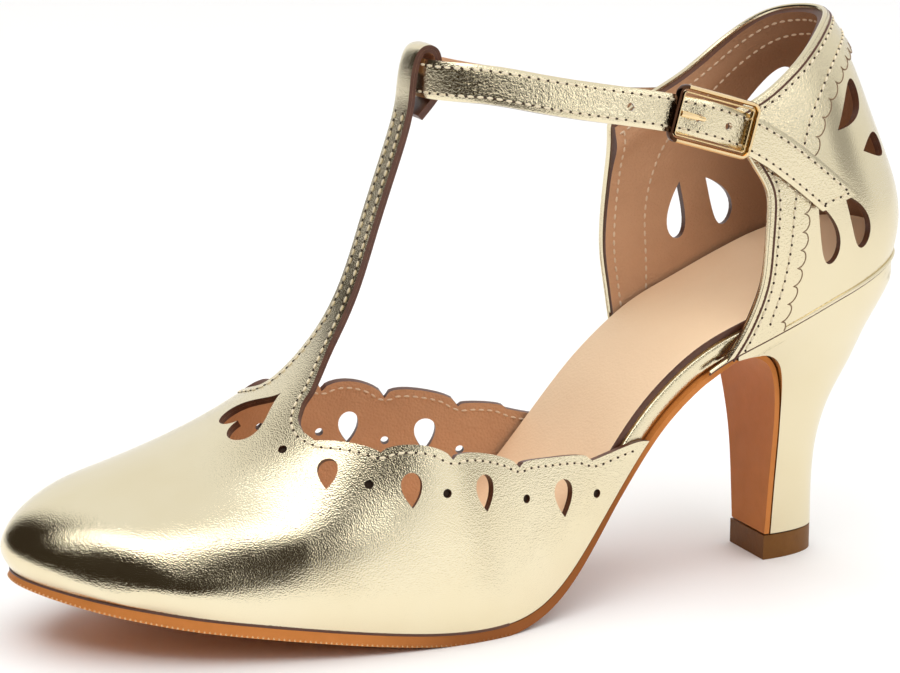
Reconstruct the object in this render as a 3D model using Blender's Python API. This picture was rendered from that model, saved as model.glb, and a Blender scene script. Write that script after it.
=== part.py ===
"""Ankle strap pump, one left shoe, built in millimetres and laid out in metres.

+X runs from the toe to the heel, +Y to the inner side of the foot, +Z up.
The origin is the middle of the heel's top piece on the floor.
"""
import math

import bmesh
import bpy
import numpy as np

MM = 0.001
GAP = 0.3
UPPER_WALL = 1.8
BAND_THICK = 0.9
OUTSOLE_FORE, OUTSOLE_WAIST, OUTSOLE_TIP = 3.0, 1.4, 1.9
INSOLE_THICK, SOCK_THICK = 4.4, 1.9
INSOLE_INSET = UPPER_WALL + GAP
SOCK_INSET = INSOLE_INSET + 0.2
STRAP_WIDE, STRAP_THICK = 9.2, 1.7
TOP_PIECE_HIGH = 6.5

TOE_START, TOE_TIP, TOE_ROUND = -182.0, -203.3, 2.2
SEAT_START, SEAT_END, SEAT_ROUND = 4.0, 29.2, 2.0
QUARTER_FRONT = -44.0
# where the outsole starts to thin towards the toe's tip and towards the waist, and its inset there
TIP_REACH, WAIST_START, WAIST_END, WAIST_INSET = -165.0, -95.0, -60.0, 0.4

# x, height of the insole's underside along the middle of the shoe
BED = (
    (-207, 19.2), (-190, 15.9), (-170, 12.4), (-147, 8.8), (-125, 5.4), (-108, 3.3), (-98, 3.0),
    (-88, 3.9), (-80, 6.8), (-71, 13.6), (-62, 23.6), (-53, 34.6), (-46, 42.6), (-38, 50.0),
    (-30, 56.0), (-20, 61.3), (-8, 67.1), (6, 73.4), (20, 78.2), (34, 81.4),
)
# x, how much higher the inner edge of the waist lies
ARCH = ((-120, 0), (-100, 0.2), (-80, 1.6), (-55, 4), (-35, 4.2), (-15, 2), (5, 0.2), (25, 0), (40, 0))
# width over which the arch rises, share of it below the outer and above the inner edge
ARCH_ACROSS, ARCH_SHARES = 50.0, (-0.1, 1.1)
# x, outer side, inner side of the feather line where the upper meets the sole
SIDES = (
    (-182, -20, 29.5), (-170, -26.3, 33.8), (-155, -31.2, 36.6), (-140, -34.6, 37.8),
    (-125, -36.6, 37.6), (-110, -37.2, 36), (-95, -36.2, 32.8), (-85, -33.4, 30), (-77, -30.4, 27.6),
    (-68, -27, 25.2), (-58, -24, 23.4), (-48, -22, 22.4), (-38, -21.3, 22.2), (-28, -22, 22.8),
    (-16, -24, 24.2), (-5, -25.4, 25.4), (4, -25.6, 25.6),
)
# Arches of the forefoot, from the toe's feather to the folded end of the instep strap:
# foot x, ridge x, ridge height, ridge y, taper, roundness, bulge, bulge height
ARCHES = (
    (-182, -203.3, 18.6, 6.4, 0.40, 2.2, 0.0, 8),
    (-181, -205.3, 22.7, 6.5, 0.38, 2.2, 0.8, 8),
    (-179, -203.1, 28.8, 7.0, 0.35, 2.2, 1.6, 8),
    (-176, -197.0, 34.0, 7.5, 0.30, 2.2, 2.4, 9),
    (-171, -189.4, 37.4, 8.0, 0.22, 2.2, 3.0, 10),
    (-164, -177.0, 40.8, 8.0, 0.14, 2.2, 3.2, 11),
    (-154, -162.5, 45.1, 7.5, 0.08, 2.2, 3.0, 12),
    (-143, -149.5, 50.7, 6.0, 0.04, 2.2, 2.6, 12),
    (-131, -138.0, 57.5, 4.0, 0.0, 2.25, 2.2, 12),
    (-117, -126.2, 68.4, 2.0, 0.0, 2.35, 1.8, 12),
    (-102, -119.9, 80.6, 0.5, 0.0, 2.5, 1.4, 12),
    (-86, -114.6, 97.0, 0.0, 0.0, 2.7, 1.0, 12),
    (-68, -107.9, 116.0, 0.0, 0.0, 2.8, 0.6, 12),
    (-54, -105.3, 126.4, 0.0, 0.0, 2.8, 0.3, 12),
    (-49, -104.8, 131.0, 0.0, 0.0, 2.8, 0.3, 12),
    (-47, -103.8, 135.6, 0.0, 0.0, 2.8, 0.3, 12),
    (-45.5, -102.1, 138.5, 0.0, 0.0, 2.8, 0.3, 12),
    (-44, -99.6, 139.2, 0.0, 0.0, 2.8, 0.3, 12),
    (-42.6, -97.4, 137.9, 0.0, 0.0, 2.8, 0.3, 12),
    (-41.6, -96.6, 135.4, 0.0, 0.0, 2.8, 0.3, 12),
    (-40.6, -96.5, 131.4, 0.0, 0.0, 2.8, 0.3, 12),
    (-39.6, -97.0, 127.2, 0.0, 0.0, 2.8, 0.2, 12),
    (-38.2, -99.2, 124.0, 0.0, 0.0, 2.8, 0.2, 12),
    (-36.5, -101.8, 121.2, 0.0, 0.0, 2.8, 0.2, 12),
)
# edges of the instep strap from its root to its folded end: along the arches, angle from the ridge
OUTER_STRAP = (
    (69.2, -31.1), (69.1, -28.3), (69.6, -25.1), (70.9, -22.6), (72.7, -20.1), (74.8, -18.7), (76.9, -16.6),
    (80.8, -12.2), (84.8, -8.5), (89.8, -6.2), (99.8, -5.5), (108, -6), (117, -6.8), (128, -7.5),
    (138, -8.4), (146, -9), (155, -9.4), (168, -9.6), (190, -9.6),
)
INNER_STRAP = (
    (67.3, 20), (67.6, 15), (68.3, 10.3), (69.8, 7.4), (72.2, 6.6), (74.3, 6.8), (77.5, 7.5), (80.6, 8.4),
    (84, 9.2), (89.6, 9.4), (100, 8.2), (108, 7.5), (117, 7.6), (128, 8.6), (138, 10), (146, 10.6),
    (155, 11), (168, 11), (190, 11),
)
# cusps of the scalloped topline: along the arches, angle down from the ridge, bump up to the next
OUTER_CUSPS = (
    (70.6, 35.6, 0.4), (84.8, 49.5, 1.6), (105.6, 61.4, 1.6), (126.4, 72, 1.6), (142.6, 83, 0),
    (154.6, 91, 0),
)
INNER_CUSPS = (
    (67.9, 24.5, 1.4), (81.1, 44.4, 1.6), (96.8, 56, 2.0), (116.9, 66.4, 2.2), (134, 76.2, 0.8),
    (141.8, 83, 0), (148, 91, 0),
)
# teardrops: along the arches, angle from the ridge, width, length
TEARDROPS = (
    (70.3, -46.4, 5.2, 7.6), (90.4, -60.6, 5.4, 8.4), (112.8, -69.7, 5.6, 9.0), (134.6, -81.6, 6.0, 9.4),
    (65.0, 60.5, 5.2, 7.6), (85.0, 57.7, 5.4, 8.4), (103.5, 66.7, 5.6, 9.0), (124.4, 75.6, 5.8, 9.2),
)
LOOP_START = 146.0
HEART_AT, HEART_ANGLE, HEART_LONG, HEART_WIDE = 62.5, -8.9, 16.4, 16.4
HEART_WAY, TEARDROP_WAY = (1, -0.09, 0), (0, 0, -1)
# waves of the heart's outline and its height before scaling; fullness of a teardrop
HEART_WAVES, HEART_HIGH, DROP_FULLNESS = (13, -5, -2, -1), 29.0, 0.62

# x on the feather line, height of the collar above it
COLLAR = (
    (-44, 110), (-36, 112.8), (-18, 119.6), (-7, 123.6), (3, 128.8), (13, 135.0), (22, 140.0), (31.5, 142.4),
)
# share of the quarter's height, lean of its back, width factor
LEVELS = (
    (0, 0, 1.0), (0.12, 1.6, 1.03), (0.25, 1.0, 1.06), (0.44, -3.2, 1.07),
    (0.615, -7.8, 1.05), (0.78, -12.0, 0.99), (0.9, -16.0, 0.92), (1, -20.5, 0.84),
)
BACK_PINCH, BACK_LEAN_POWER = 0.24, 0.85
QUARTER_SCALE = 60.0
# share of the height, outer front edge, inner front edge, both along the feather line from the back
WING_FRONTS = (
    (-0.1, -76.5, 79), (0, -72.4, 80), (0.04, -70.2, 80.4), (0.14, -66.7, 81.2), (0.29, -63.2, 82),
    (0.41, -61.4, 82.6), (0.55, -59.2, 82.4), (0.65, -58.2, 81.8), (0.77, -60, 81), (0.9, -62, 80.4),
    (1.1, -64, 82),
)
# the band's scalloped edge: along the feather line from the back, share of the height
BAND_EDGE = (
    (-59, -0.08), (-58.6, 0.04), (-57.6, 0.12), (-56.2, 0.2), (-54.8, 0.28), (-53.2, 0.36), (-51.4, 0.455),
    (-49, 0.56), (-46, 0.655), (-42.4, 0.735), (-38.6, 0.79), (-33.6, 0.832), (-28, 0.858),
    (-19.6, 0.871), (-10, 0.876), (0, 0.877), (10, 0.876), (19.6, 0.871), (28, 0.86), (37, 0.843),
    (46, 0.81), (54, 0.765), (60.4, 0.7), (64.6, 0.6), (67.6, 0.46), (68.6, 0.3), (69, 0.14), (69, -0.08),
)
BAND_PITCH, BAND_RISE, BAND_FOOT = 4.4, 1.7, 0.8
# petals: pointed end and round end, each along and share of the height, then the width and the bow
PETALS = (
    (-34.8, 0.693, -21.0, 0.765, 7.0, 1.0), (-28.6, 0.54, -17.6, 0.475, 6.0, -0.7),
    (-45.9, 0.49, -45.2, 0.205, 5.4, -0.6), (-38.6, 0.45, -35.9, 0.19, 5.6, -1.0),
    (36.4, 0.68, 19.5, 0.745, 7.2, -1.0), (28.6, 0.54, 17.6, 0.475, 6.0, 0.7),
    (58.0, 0.53, 61.2, 0.275, 6.2, -1.0), (49.8, 0.48, 46.8, 0.225, 6.0, 1.0),
)
BACK_STRIP_HALF, BACK_STRIP_TOP = 2.6, 0.832

# front x, front height, flap half width, heel back x, heel back height, heel half width, roundness, bow
BREAST = (
    (-24.0, 57.8, 19.0, 29.2, 79.2, 25.4, 3.4, 2.4),
    (-17.5, 58.6, 17.6, 26.6, 70.0, 23.0, 3.0, 1.6),
    (-11.8, 56.2, 16.9, 23.0, 61.5, 20.2, 2.6, 0.8),
    (-8.2, 50.0, 15.2, 19.6, 52.0, 16.6, 2.3, 0),
    (-6.7, 42.0, 13.6, 15.0, 43.0, 13.9, 2.2, 0),
    (-6.0, 33.0, 11.8, 11.6, 33.0, 12.0, 2.1, 0),
    (-5.8, 24.0, 10.4, 10.4, 24.0, 10.6, 2.1, 0),
    (-5.8, 15.0, 9.4, 10.3, 15.0, 9.6, 2.1, 0),
    (-5.8, 6.9, 8.6, 10.6, 6.9, 8.8, 2.1, 0),
)
# how far the heel is made too high, then the block cutting it to the seat: half length, half width, top
SEAT_SLACK, SEAT_HALF_LONG, SEAT_HALF_WIDE, SEAT_TOP = 12.0, 45.0, 35.0, 120.0
# length of the waist taken up by the turn into the heel's front
BREAST_TURN = 8.0

# ankle strap's middle line: x, y, z, lean of its width towards the heel, roll of its outer face upwards
STRAP_LINE = (
    (-20, 25.6, 115.4, 2, 0), (-30, 24.8, 116.0, 2, 0), (-41, 23.8, 117.6, 3, 0), (-55, 21.6, 120.6, 4, 0),
    (-72, 17.6, 124.6, 5, 0), (-88, 12.2, 128.4, 5, 0), (-96.4, 8.4, 130.4, 5, 0),
    (-100.4, 4.4, 130.9, 5, 0), (-101.2, 0, 131.1, 5, 0), (-100.6, -4.4, 131.1, 5, 1),
    (-97.0, -9.0, 130.8, 5, 7), (-89.4, -13.4, 130.2, 5, 15), (-77, -18.8, 127.9, 5, 16),
    (-60, -23.4, 124.9, 4, 10), (-45, -26.0, 122.2, 3, 6), (-35, -27.2, 119.6, 2, 4),
    (-24.5, -27.9, 115.4, 2, 2),
    (-12.0, -28.8, 107.2, 2, 0), (-0.5, -29.5, 97.8, 2, 0),
)
TAIL_SLANT = 3.0
BUCKLE_AT, BUCKLE_LONG, BUCKLE_WIDE, BUCKLE_BAR, BUCKLE_CORNER = 0.797, 22.4, 14.2, 2.0, 1.4
BUCKLE_CROWN = 0.6
PRONG_LONG, PRONG_THICK = 9.0, 1.4

# counts of the meshes
VAMP_COLUMNS, LOOP_COLUMNS, VAMP_ROWS = 28, 20, 27
QUARTER_COLUMNS, QUARTER_ROWS, BAND_ROWS, STRIP_COLUMNS, STRIP_ROWS = 31, 10, 9, 3, 13
BED_STATIONS, SOLE_STATIONS, ACROSS = (9, 34, 9), (9, 46, 2), 4
TOPLINE_STEPS, BAND_STEPS, DROP_STEPS, HEART_STEPS = 6, 4, 14, 24
HEEL_STEPS, SEAT_ROWS, SEAT_COLUMNS, STRAP_STEPS, CORNER_STEPS = 18, 24, 6, 44, 3
SEAT_SIDE_STEPS, SEAT_BACK_STEPS = 60, 80

# steps for reading slopes off the surfaces, and how far inside the edges they are read
STEP, FLARE_STEP, ALONG_STEP, ANGLE_STEP, SHARE_STEP = 0.2, 0.5, 0.4, 0.8, 0.01
TOE_CLEAR, LOOP_CLEAR, STEEPEST, END_CLEAR, RIM_CLEAR = 3.0, 0.5, 86.0, 1.0, 0.02
# turn left out at the very tip and back; parts of the ridge's and the foot's travel; least travel
TIP_TURN, RIDGE_PART, FOOT_PART, LEAST_TRAVEL = 0.06, 0.6, 0.4, 1.0
# flat patterns: how far outlines run past the sheet, angle beyond the feather, cutters' low and high ends
OVERRUN, BEYOND_FEATHER, CUTTER_LOW, CUTTER_HIGH = 5.0, 95.0, -1.0, 2.0
SHEET_SLACK, MERGE_GAP = 0.2, 0.02
ROUGHNESS = 0.35

COLOURS = {
    "outsole": (0.42, 0.19, 0.07), "insole": (0.80, 0.72, 0.52), "sock": (0.66, 0.47, 0.32),
    "vamp": (0.80, 0.72, 0.52), "quarter": (0.80, 0.72, 0.52), "collar_band": (0.80, 0.72, 0.52),
    "back_strip": (0.80, 0.72, 0.52), "heel": (0.80, 0.72, 0.52), "top_piece": (0.20, 0.10, 0.03),
    "ankle_strap": (0.80, 0.72, 0.52), "buckle_frame": (0.85, 0.62, 0.30),
    "buckle_prong": (0.85, 0.62, 0.30),
}
METALLIC = ("insole", "vamp", "quarter", "collar_band", "back_strip", "heel", "ankle_strap",
            "buckle_frame", "buckle_prong")


def spline(at, rows):
    """Return the natural cubic through the rows, one row per place."""
    at = np.array(at, float)
    rows = np.array(rows, float)
    gap = np.diff(at)
    count = len(at)
    pull = np.eye(count)
    load = np.zeros_like(rows)
    for k in range(1, count - 1):
        pull[k, k - 1:k + 2] = gap[k - 1], 2 * (gap[k - 1] + gap[k]), gap[k]
        load[k] = 6 * ((rows[k + 1] - rows[k]) / gap[k] - (rows[k] - rows[k - 1]) / gap[k - 1])
    bend = np.linalg.solve(pull, load)

    def value(place):
        place = np.asarray(place, float)
        k = np.clip(np.searchsorted(at, place) - 1, 0, count - 2)
        shape = place.shape + (1,) * (rows.ndim - 1)
        width = gap[k].reshape(shape)
        after = (place - at[k]).reshape(shape)
        before = width - after
        curve = (bend[k] * before ** 3 + bend[k + 1] * after ** 3) / (6 * width)
        line = (rows[k] / width - bend[k] * width / 6) * before
        return curve + line + (rows[k + 1] / width - bend[k + 1] * width / 6) * after

    return value


def by_column(table):
    """Spline a table whose first column is the place."""
    return spline([row[0] for row in table], [row[1:] for row in table])


bed_middle = by_column(BED)
bed_arch = by_column(ARCH)
side_lines = by_column(SIDES)
collar_height = by_column(COLLAR)
level_shape = by_column(LEVELS)
TOE_FLARE = (side_lines(TOE_START + FLARE_STEP) - side_lines(TOE_START)) / FLARE_STEP


def bed(x, y):
    """Height of the insole's underside."""
    inner = np.clip(0.5 + np.asarray(y) / ARCH_ACROSS, *ARCH_SHARES)
    arch = np.where(np.asarray(x) > ARCH[0][0], bed_arch(x)[..., 0], 0)
    return bed_middle(x)[..., 0] + arch * inner


def lifted(x, y, rise):
    """Point lying a distance above the insole's underside, square to its slope."""
    slope = np.arctan((bed(x + STEP, y) - bed(x - STEP, y)) / (2 * STEP))
    return np.stack([x - rise * np.sin(slope), y, bed(x, y) + rise * np.cos(slope)], -1)


def feather(x):
    """Outer and inner y of the feather line."""
    x = np.asarray(x, float)
    sides = side_lines(np.clip(x, TOE_START, SEAT_START))
    sides = sides + np.minimum(x - TOE_START, 0)[..., None] * TOE_FLARE
    middle = sides.mean(-1)
    half = (sides[..., 1] - sides[..., 0]) / 2
    toe = np.clip((TOE_START - x) / (TOE_START - TOE_TIP), 0, 1)
    seat = np.clip((x - SEAT_START) / (SEAT_END - SEAT_START), 0, 1)
    half = half * (1 - toe ** TOE_ROUND) ** (1 / TOE_ROUND) * (1 - seat ** SEAT_ROUND) ** (1 / SEAT_ROUND)
    return middle - half, middle + half


def stations(toe_steps, side_steps, seat_steps):
    """Places along the shoe, close together at the round toe and seat."""
    toe = np.cos(np.linspace(TIP_TURN, math.pi / 2, toe_steps)) ** (2 / TOE_ROUND)
    seat = np.sin(np.linspace(0, math.pi / 2 - TIP_TURN, seat_steps)) ** (2 / SEAT_ROUND)
    return np.concatenate([
        TOE_START - (TOE_START - TOE_TIP) * toe,
        np.linspace(TOE_START, SEAT_START, side_steps)[1:-1],
        SEAT_START + (SEAT_END - SEAT_START) * seat,
    ])


def plan_sides(x, inset):
    """Outer and inner edge points of the sole's plan, set in square to the outline."""
    edges = []
    for side, y in zip((-1, 1), feather(x)):
        along = np.stack([np.gradient(x), np.gradient(y)], -1)
        along /= np.linalg.norm(along, axis=-1, keepdims=True)
        outward = np.stack([-along[:, 1], along[:, 0]], -1) * side
        edges.append(np.stack([x, y], -1) - outward * inset)
    return edges


def chords(points):
    """Running length of a line of points."""
    steps = np.linalg.norm(np.diff(np.asarray(points, float), axis=0), axis=1)
    return np.concatenate([[0.0], np.cumsum(steps)])


def arch_places():
    """Place of each arch: part of its ridge's travel and part of its foot's."""
    rows = np.array(ARCHES)
    ridge = np.hypot(np.diff(rows[:, 1]), np.diff(rows[:, 2]))
    travel = RIDGE_PART * ridge + FOOT_PART * np.diff(rows[:, 0])
    return np.concatenate([[0.0], np.cumsum(np.maximum(travel, LEAST_TRAVEL))])


ARCH_AT = arch_places()
arch_shape = spline(ARCH_AT, ARCHES)


def foot(along, angle):
    """Outer face of the forefoot; the angle runs from -90 outer feather to 90 inner feather."""
    shape = arch_shape(along)
    foot_x, ridge_x, ridge_z, ridge_y, taper, power, bulge, bulge_high = np.moveaxis(shape, -1, 0)
    turn = np.radians(np.clip(angle, -90, 90))
    across, upright = np.abs(np.sin(turn)), np.abs(np.cos(turn))
    reach = (across ** power + upright ** power) ** (-1 / power)
    out, up, side = reach * across, reach * upright, np.sign(turn)
    low, high = feather(foot_x)
    middle, half = (low + high) / 2, (high - low) / 2
    foot_z = bed(foot_x, np.where(side < 0, low, high) * out)
    height = up * np.hypot(ridge_x - foot_x, ridge_z - foot_z)
    swell = bulge * (1 - (1 - np.minimum(height / bulge_high, 1)) ** 2)
    y = middle + (ridge_y - middle) * up + side * (half * (1 - taper * up) + swell) * out
    return np.stack([foot_x + (ridge_x - foot_x) * up, y, foot_z + (ridge_z - foot_z) * up], -1)


def seat_line():
    """The feather line from the outer waist round the back to the inner waist."""
    back = np.sin(np.linspace(0, math.pi / 2, SEAT_BACK_STEPS)) ** (2 / SEAT_ROUND)
    x = np.concatenate([
        np.linspace(QUARTER_FRONT, SEAT_START, SEAT_SIDE_STEPS)[:-1],
        SEAT_START + (SEAT_END - SEAT_START) * back,
    ])
    low, high = feather(x)
    line = np.concatenate([np.stack([x, low], -1), np.stack([x, high], -1)[::-1][1:]])
    run = chords(line)
    return run - run[-1] / 2, line


SEAT_RUN, SEAT_POINTS = seat_line()


def quarter(along, share):
    """Outer face of the heel quarter, from the feather line at 0 to the collar at 1."""
    x = np.interp(along, SEAT_RUN, SEAT_POINTS[:, 0])
    y = np.interp(along, SEAT_RUN, SEAT_POINTS[:, 1])
    back = np.clip((x - QUARTER_FRONT) / (SEAT_END - QUARTER_FRONT), 0, 1)
    lean, wide = np.moveaxis(level_shape(share), -1, 0)
    pinch = 1 - BACK_PINCH * np.clip(share, 0, 1) * back ** 3
    foot_z = bed(x, y)
    rise = (collar_height(x)[..., 0] - foot_z) * share
    return np.stack([x + lean * back ** BACK_LEAN_POWER, y * wide * pinch, foot_z + rise], -1)


def facing(surface, a, b, step_a, step_b):
    """Unit normals of a surface, both directions sampled a step to either side."""
    run_a = surface(a + step_a, b) - surface(a - step_a, b)
    run_b = surface(a, b + step_b) - surface(a, b - step_b)
    normal = np.cross(run_a, run_b)
    return normal / np.linalg.norm(normal, axis=-1, keepdims=True)


def foot_facing(along, angle):
    """Outward normals of the forefoot, taken just inside its edges."""
    along = np.clip(along, TOE_CLEAR, ARCH_AT[-1] - LOOP_CLEAR)
    return facing(foot, along, np.clip(angle, -STEEPEST, STEEPEST), ALONG_STEP, ANGLE_STEP)


def quarter_facing(along, share):
    """Outward normals of the quarter."""
    along = np.clip(along, SEAT_RUN[0] + END_CLEAR, SEAT_RUN[-1] - END_CLEAR)
    return facing(quarter, along, np.clip(share, RIM_CLEAR, 1 - RIM_CLEAR), ALONG_STEP, SHARE_STEP)


def finish(name, bm):
    """Turn millimetres into metres and lay the piece in the pump's collection."""
    bmesh.ops.recalc_face_normals(bm, faces=bm.faces)
    if bm.calc_volume(signed=True) < 0:
        bmesh.ops.reverse_faces(bm, faces=bm.faces)
    bmesh.ops.scale(bm, vec=(MM, MM, MM), verts=bm.verts)
    mesh = bpy.data.meshes.new(name)
    bm.to_mesh(mesh)
    bm.free()
    material = bpy.data.materials.new(name)
    material.use_nodes = True
    shader = material.node_tree.nodes["Principled BSDF"]
    shader.inputs["Base Color"].default_value = (*COLOURS[name], 1)
    shader.inputs["Metallic"].default_value = 1.0 if name in METALLIC else 0.0
    shader.inputs["Roughness"].default_value = ROUGHNESS
    mesh.materials.append(material)
    piece = bpy.data.objects.new(name, mesh)
    pump.objects.link(piece)
    return piece


def ring_loft(rings, closed=False):
    """Bridge rings of points into one skin; an open run is capped at both ends."""
    bm = bmesh.new()
    loops = []
    for ring in rings:
        verts = [bm.verts.new(point) for point in ring]
        loops.append([bm.edges.new((verts[k - 1], verts[k])) for k in range(len(verts))])
    pairs = list(zip(loops, loops[1:]))
    if closed:
        pairs.append((loops[-1], loops[0]))
    for first, second in pairs:
        bmesh.ops.bridge_loops(bm, edges=first + second)
    if not closed:
        bmesh.ops.contextual_create(bm, geom=loops[0])
        bmesh.ops.contextual_create(bm, geom=loops[-1])
    return bm


def prisms(outlines):
    """Upright cutters standing through the flat pattern, one per outline."""
    bm = bmesh.new()
    for outline in outlines:
        verts = [bm.verts.new((a, b, CUTTER_LOW)) for a, b in outline]
        edges = [bm.edges.new((verts[k - 1], verts[k])) for k in range(len(verts))]
        face = bmesh.ops.contextual_create(bm, geom=edges)["faces"]
        wall = bmesh.ops.extrude_face_region(bm, geom=face)["geom"]
        moved = [item for item in wall if isinstance(item, bmesh.types.BMVert)]
        bmesh.ops.translate(bm, vec=(0, 0, CUTTER_HIGH - CUTTER_LOW), verts=moved)
    bmesh.ops.recalc_face_normals(bm, faces=bm.faces)
    return bm


def scratch_object(name, bm):
    """Put a passing piece in the scene for one cut."""
    mesh = bpy.data.meshes.new(name)
    bm.to_mesh(mesh)
    bm.free()
    piece = bpy.data.objects.new(name, mesh)
    bpy.context.scene.collection.objects.link(piece)
    return piece


def cut(body, tool):
    """Cut one skin from another and return what is left."""
    body = scratch_object("body", body)
    tool = scratch_object("tool", tool)
    knife = body.modifiers.new("cut", "BOOLEAN")
    knife.operation = "DIFFERENCE"
    knife.solver = "EXACT"
    knife.object = tool
    done = body.evaluated_get(bpy.context.evaluated_depsgraph_get())
    bm = bmesh.new()
    bm.from_mesh(done.data)
    for piece in (body, tool):
        bpy.data.objects.remove(piece)
    return bm


def flat_sheet(columns, rows, outlines):
    """Flat pattern one unit thick with its outlines cut away, in triangles."""
    bm = bmesh.new()
    bmesh.ops.create_grid(bm, x_segments=len(columns) - 1, y_segments=len(rows) - 1, size=0.5)
    for vert in bm.verts:
        vert.co.x = np.interp(vert.co.x + 0.5, np.linspace(0, 1, len(columns)), columns)
        vert.co.y = np.interp(vert.co.y + 0.5, np.linspace(0, 1, len(rows)), rows)
    top = bmesh.ops.extrude_face_region(bm, geom=bm.faces[:])["geom"]
    raised = [item for item in top if isinstance(item, bmesh.types.BMVert)]
    bmesh.ops.translate(bm, vec=(0, 0, 1.0), verts=raised)
    bmesh.ops.recalc_face_normals(bm, faces=bm.faces)
    bm = cut(bm, prisms(outlines))
    bmesh.ops.dissolve_degenerate(bm, dist=MERGE_GAP, edges=bm.edges)
    bmesh.ops.triangulate(bm, faces=bm.faces)
    return bm


def lasted(bm, surface, normals, scale_b, outside, inside):
    """Bend a flat sheet on to a surface, its faces lying at two offsets from it."""
    flat = np.array([vert.co for vert in bm.verts])
    a, b = flat[:, 0], flat[:, 1] / scale_b
    offset = outside + (inside - outside) * flat[:, 2]
    shaped = surface(a, b) + normals(a, b) * offset[:, None]
    for vert, point in zip(bm.verts, shaped):
        vert.co = point
    return bm


def teardrop(wide, long):
    """Teardrop about its middle, round end at -x and point at +x."""
    turn = np.linspace(0, 2 * math.pi, DROP_STEPS, endpoint=False)
    across = DROP_FULLNESS * wide * np.sin(turn) * np.sin(turn / 2)
    return np.stack([long / 2 * np.cos(turn), across], -1)


def heart(wide, long):
    """Heart about its middle, point at +x and lobes at -x."""
    turn = np.linspace(0, 2 * math.pi, HEART_STEPS, endpoint=False)
    across = np.sin(turn) ** 3
    waves = [size * np.cos(k * turn) for k, size in enumerate(HEART_WAVES, 1)]
    down = -sum(waves) / HEART_HIGH
    return np.stack([long * (down - (down.max() + down.min()) / 2), wide / 2 * across], -1)


def on_foot(shape, along, angle, heading):
    """Place a small outline in the forefoot's flat pattern, its +x lying along the heading."""
    here = (np.array(along), np.array(angle))
    run = np.stack([(foot(here[0] + STEP, here[1]) - foot(here[0] - STEP, here[1])) / (2 * STEP),
                    (foot(here[0], here[1] + STEP) - foot(here[0], here[1] - STEP)) / (2 * STEP)], -1)
    normal = foot_facing(*here)
    axis = np.array(heading, float)
    axis -= normal * axis.dot(normal)
    axis /= np.linalg.norm(axis)
    side = np.cross(normal, axis)
    offsets = shape[:, :1] * axis + shape[:, 1:] * side
    return np.array((along, angle)) + offsets @ np.linalg.pinv(run).T


def scallops(cusps, rises, steps):
    """Line through the cusps with a bump to its left from each to the next."""
    line = []
    for first, second, rise in zip(cusps, cusps[1:], rises):
        chord = second - first
        left = np.array([-chord[1], chord[0]]) / np.linalg.norm(chord)
        for t in np.arange(steps) / steps:
            line.append(first + chord * t + left * rise * math.sqrt(4 * t * (1 - t)))
    return line + [cusps[-1]]


def throat(side, cusps):
    """Open top on one side of the instep strap, scalloped along the topline."""
    edge = list(OUTER_STRAP if side < 0 else INNER_STRAP)[::-1]
    rows = np.array(cusps, float)
    topline = scallops(rows[:, :2] * (1, -1), rows[:, 2], TOPLINE_STEPS)
    line = edge + [(at, -angle * side) for at, angle in topline]
    return line + [(ARCH_AT[-1] + OVERRUN, BEYOND_FEATHER * side)]


def build_vamp():
    """Forefoot upper with its instep strap folded over into a loop."""
    outlines = [throat(-1, OUTER_CUSPS), throat(1, INNER_CUSPS)]
    outlines.append(on_foot(heart(HEART_WIDE, HEART_LONG), HEART_AT, HEART_ANGLE, HEART_WAY))
    for along, angle, wide, long in TEARDROPS:
        outlines.append(on_foot(teardrop(wide, long), along, angle, TEARDROP_WAY))
    columns = np.concatenate([np.linspace(0, LOOP_START, VAMP_COLUMNS),
                              np.linspace(LOOP_START, ARCH_AT[-1], LOOP_COLUMNS)[1:]])
    sheet = flat_sheet(columns, np.linspace(-90, 90, VAMP_ROWS), outlines)
    finish("vamp", lasted(sheet, foot, foot_facing, 1.0, 0, -UPPER_WALL))


def petal(row):
    """Petal cut-out in the quarter's flat pattern, bowed like a comma."""
    *ends, wide, bow = row
    point = np.array((ends[0], ends[1] * QUARTER_SCALE))
    end = np.array((ends[2], ends[3] * QUARTER_SCALE))
    axis = point - end
    long = np.linalg.norm(axis)
    axis /= long
    shape = teardrop(wide, long)
    shape[:, 1] += bow * (1 - (2 * shape[:, 0] / long) ** 2)
    side = np.array((-axis[1], axis[0]))
    return (point + end) / 2 + shape[:, :1] * axis + shape[:, 1:] * side


def wing_front(column):
    """Part of the flat pattern in front of one wing."""
    side = -1 if column == 1 else 1
    line = [(row[column], row[0] * QUARTER_SCALE) for row in WING_FRONTS]
    far = side * (SEAT_RUN[-1] + OVERRUN)
    return line + [(far, line[-1][1]), (far, line[0][1])]


def band_back():
    """Part of the flat pattern behind and below the scalloped band."""
    nodes = np.array([(at, share * QUARTER_SCALE) for at, share in BAND_EDGE])
    run = chords(nodes)
    curve = spline(run, nodes)
    count = round(run[-1] / BAND_PITCH)
    return scallops(curve(np.linspace(0, run[-1], count + 1)), [-BAND_RISE] * count, BAND_STEPS)


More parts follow.
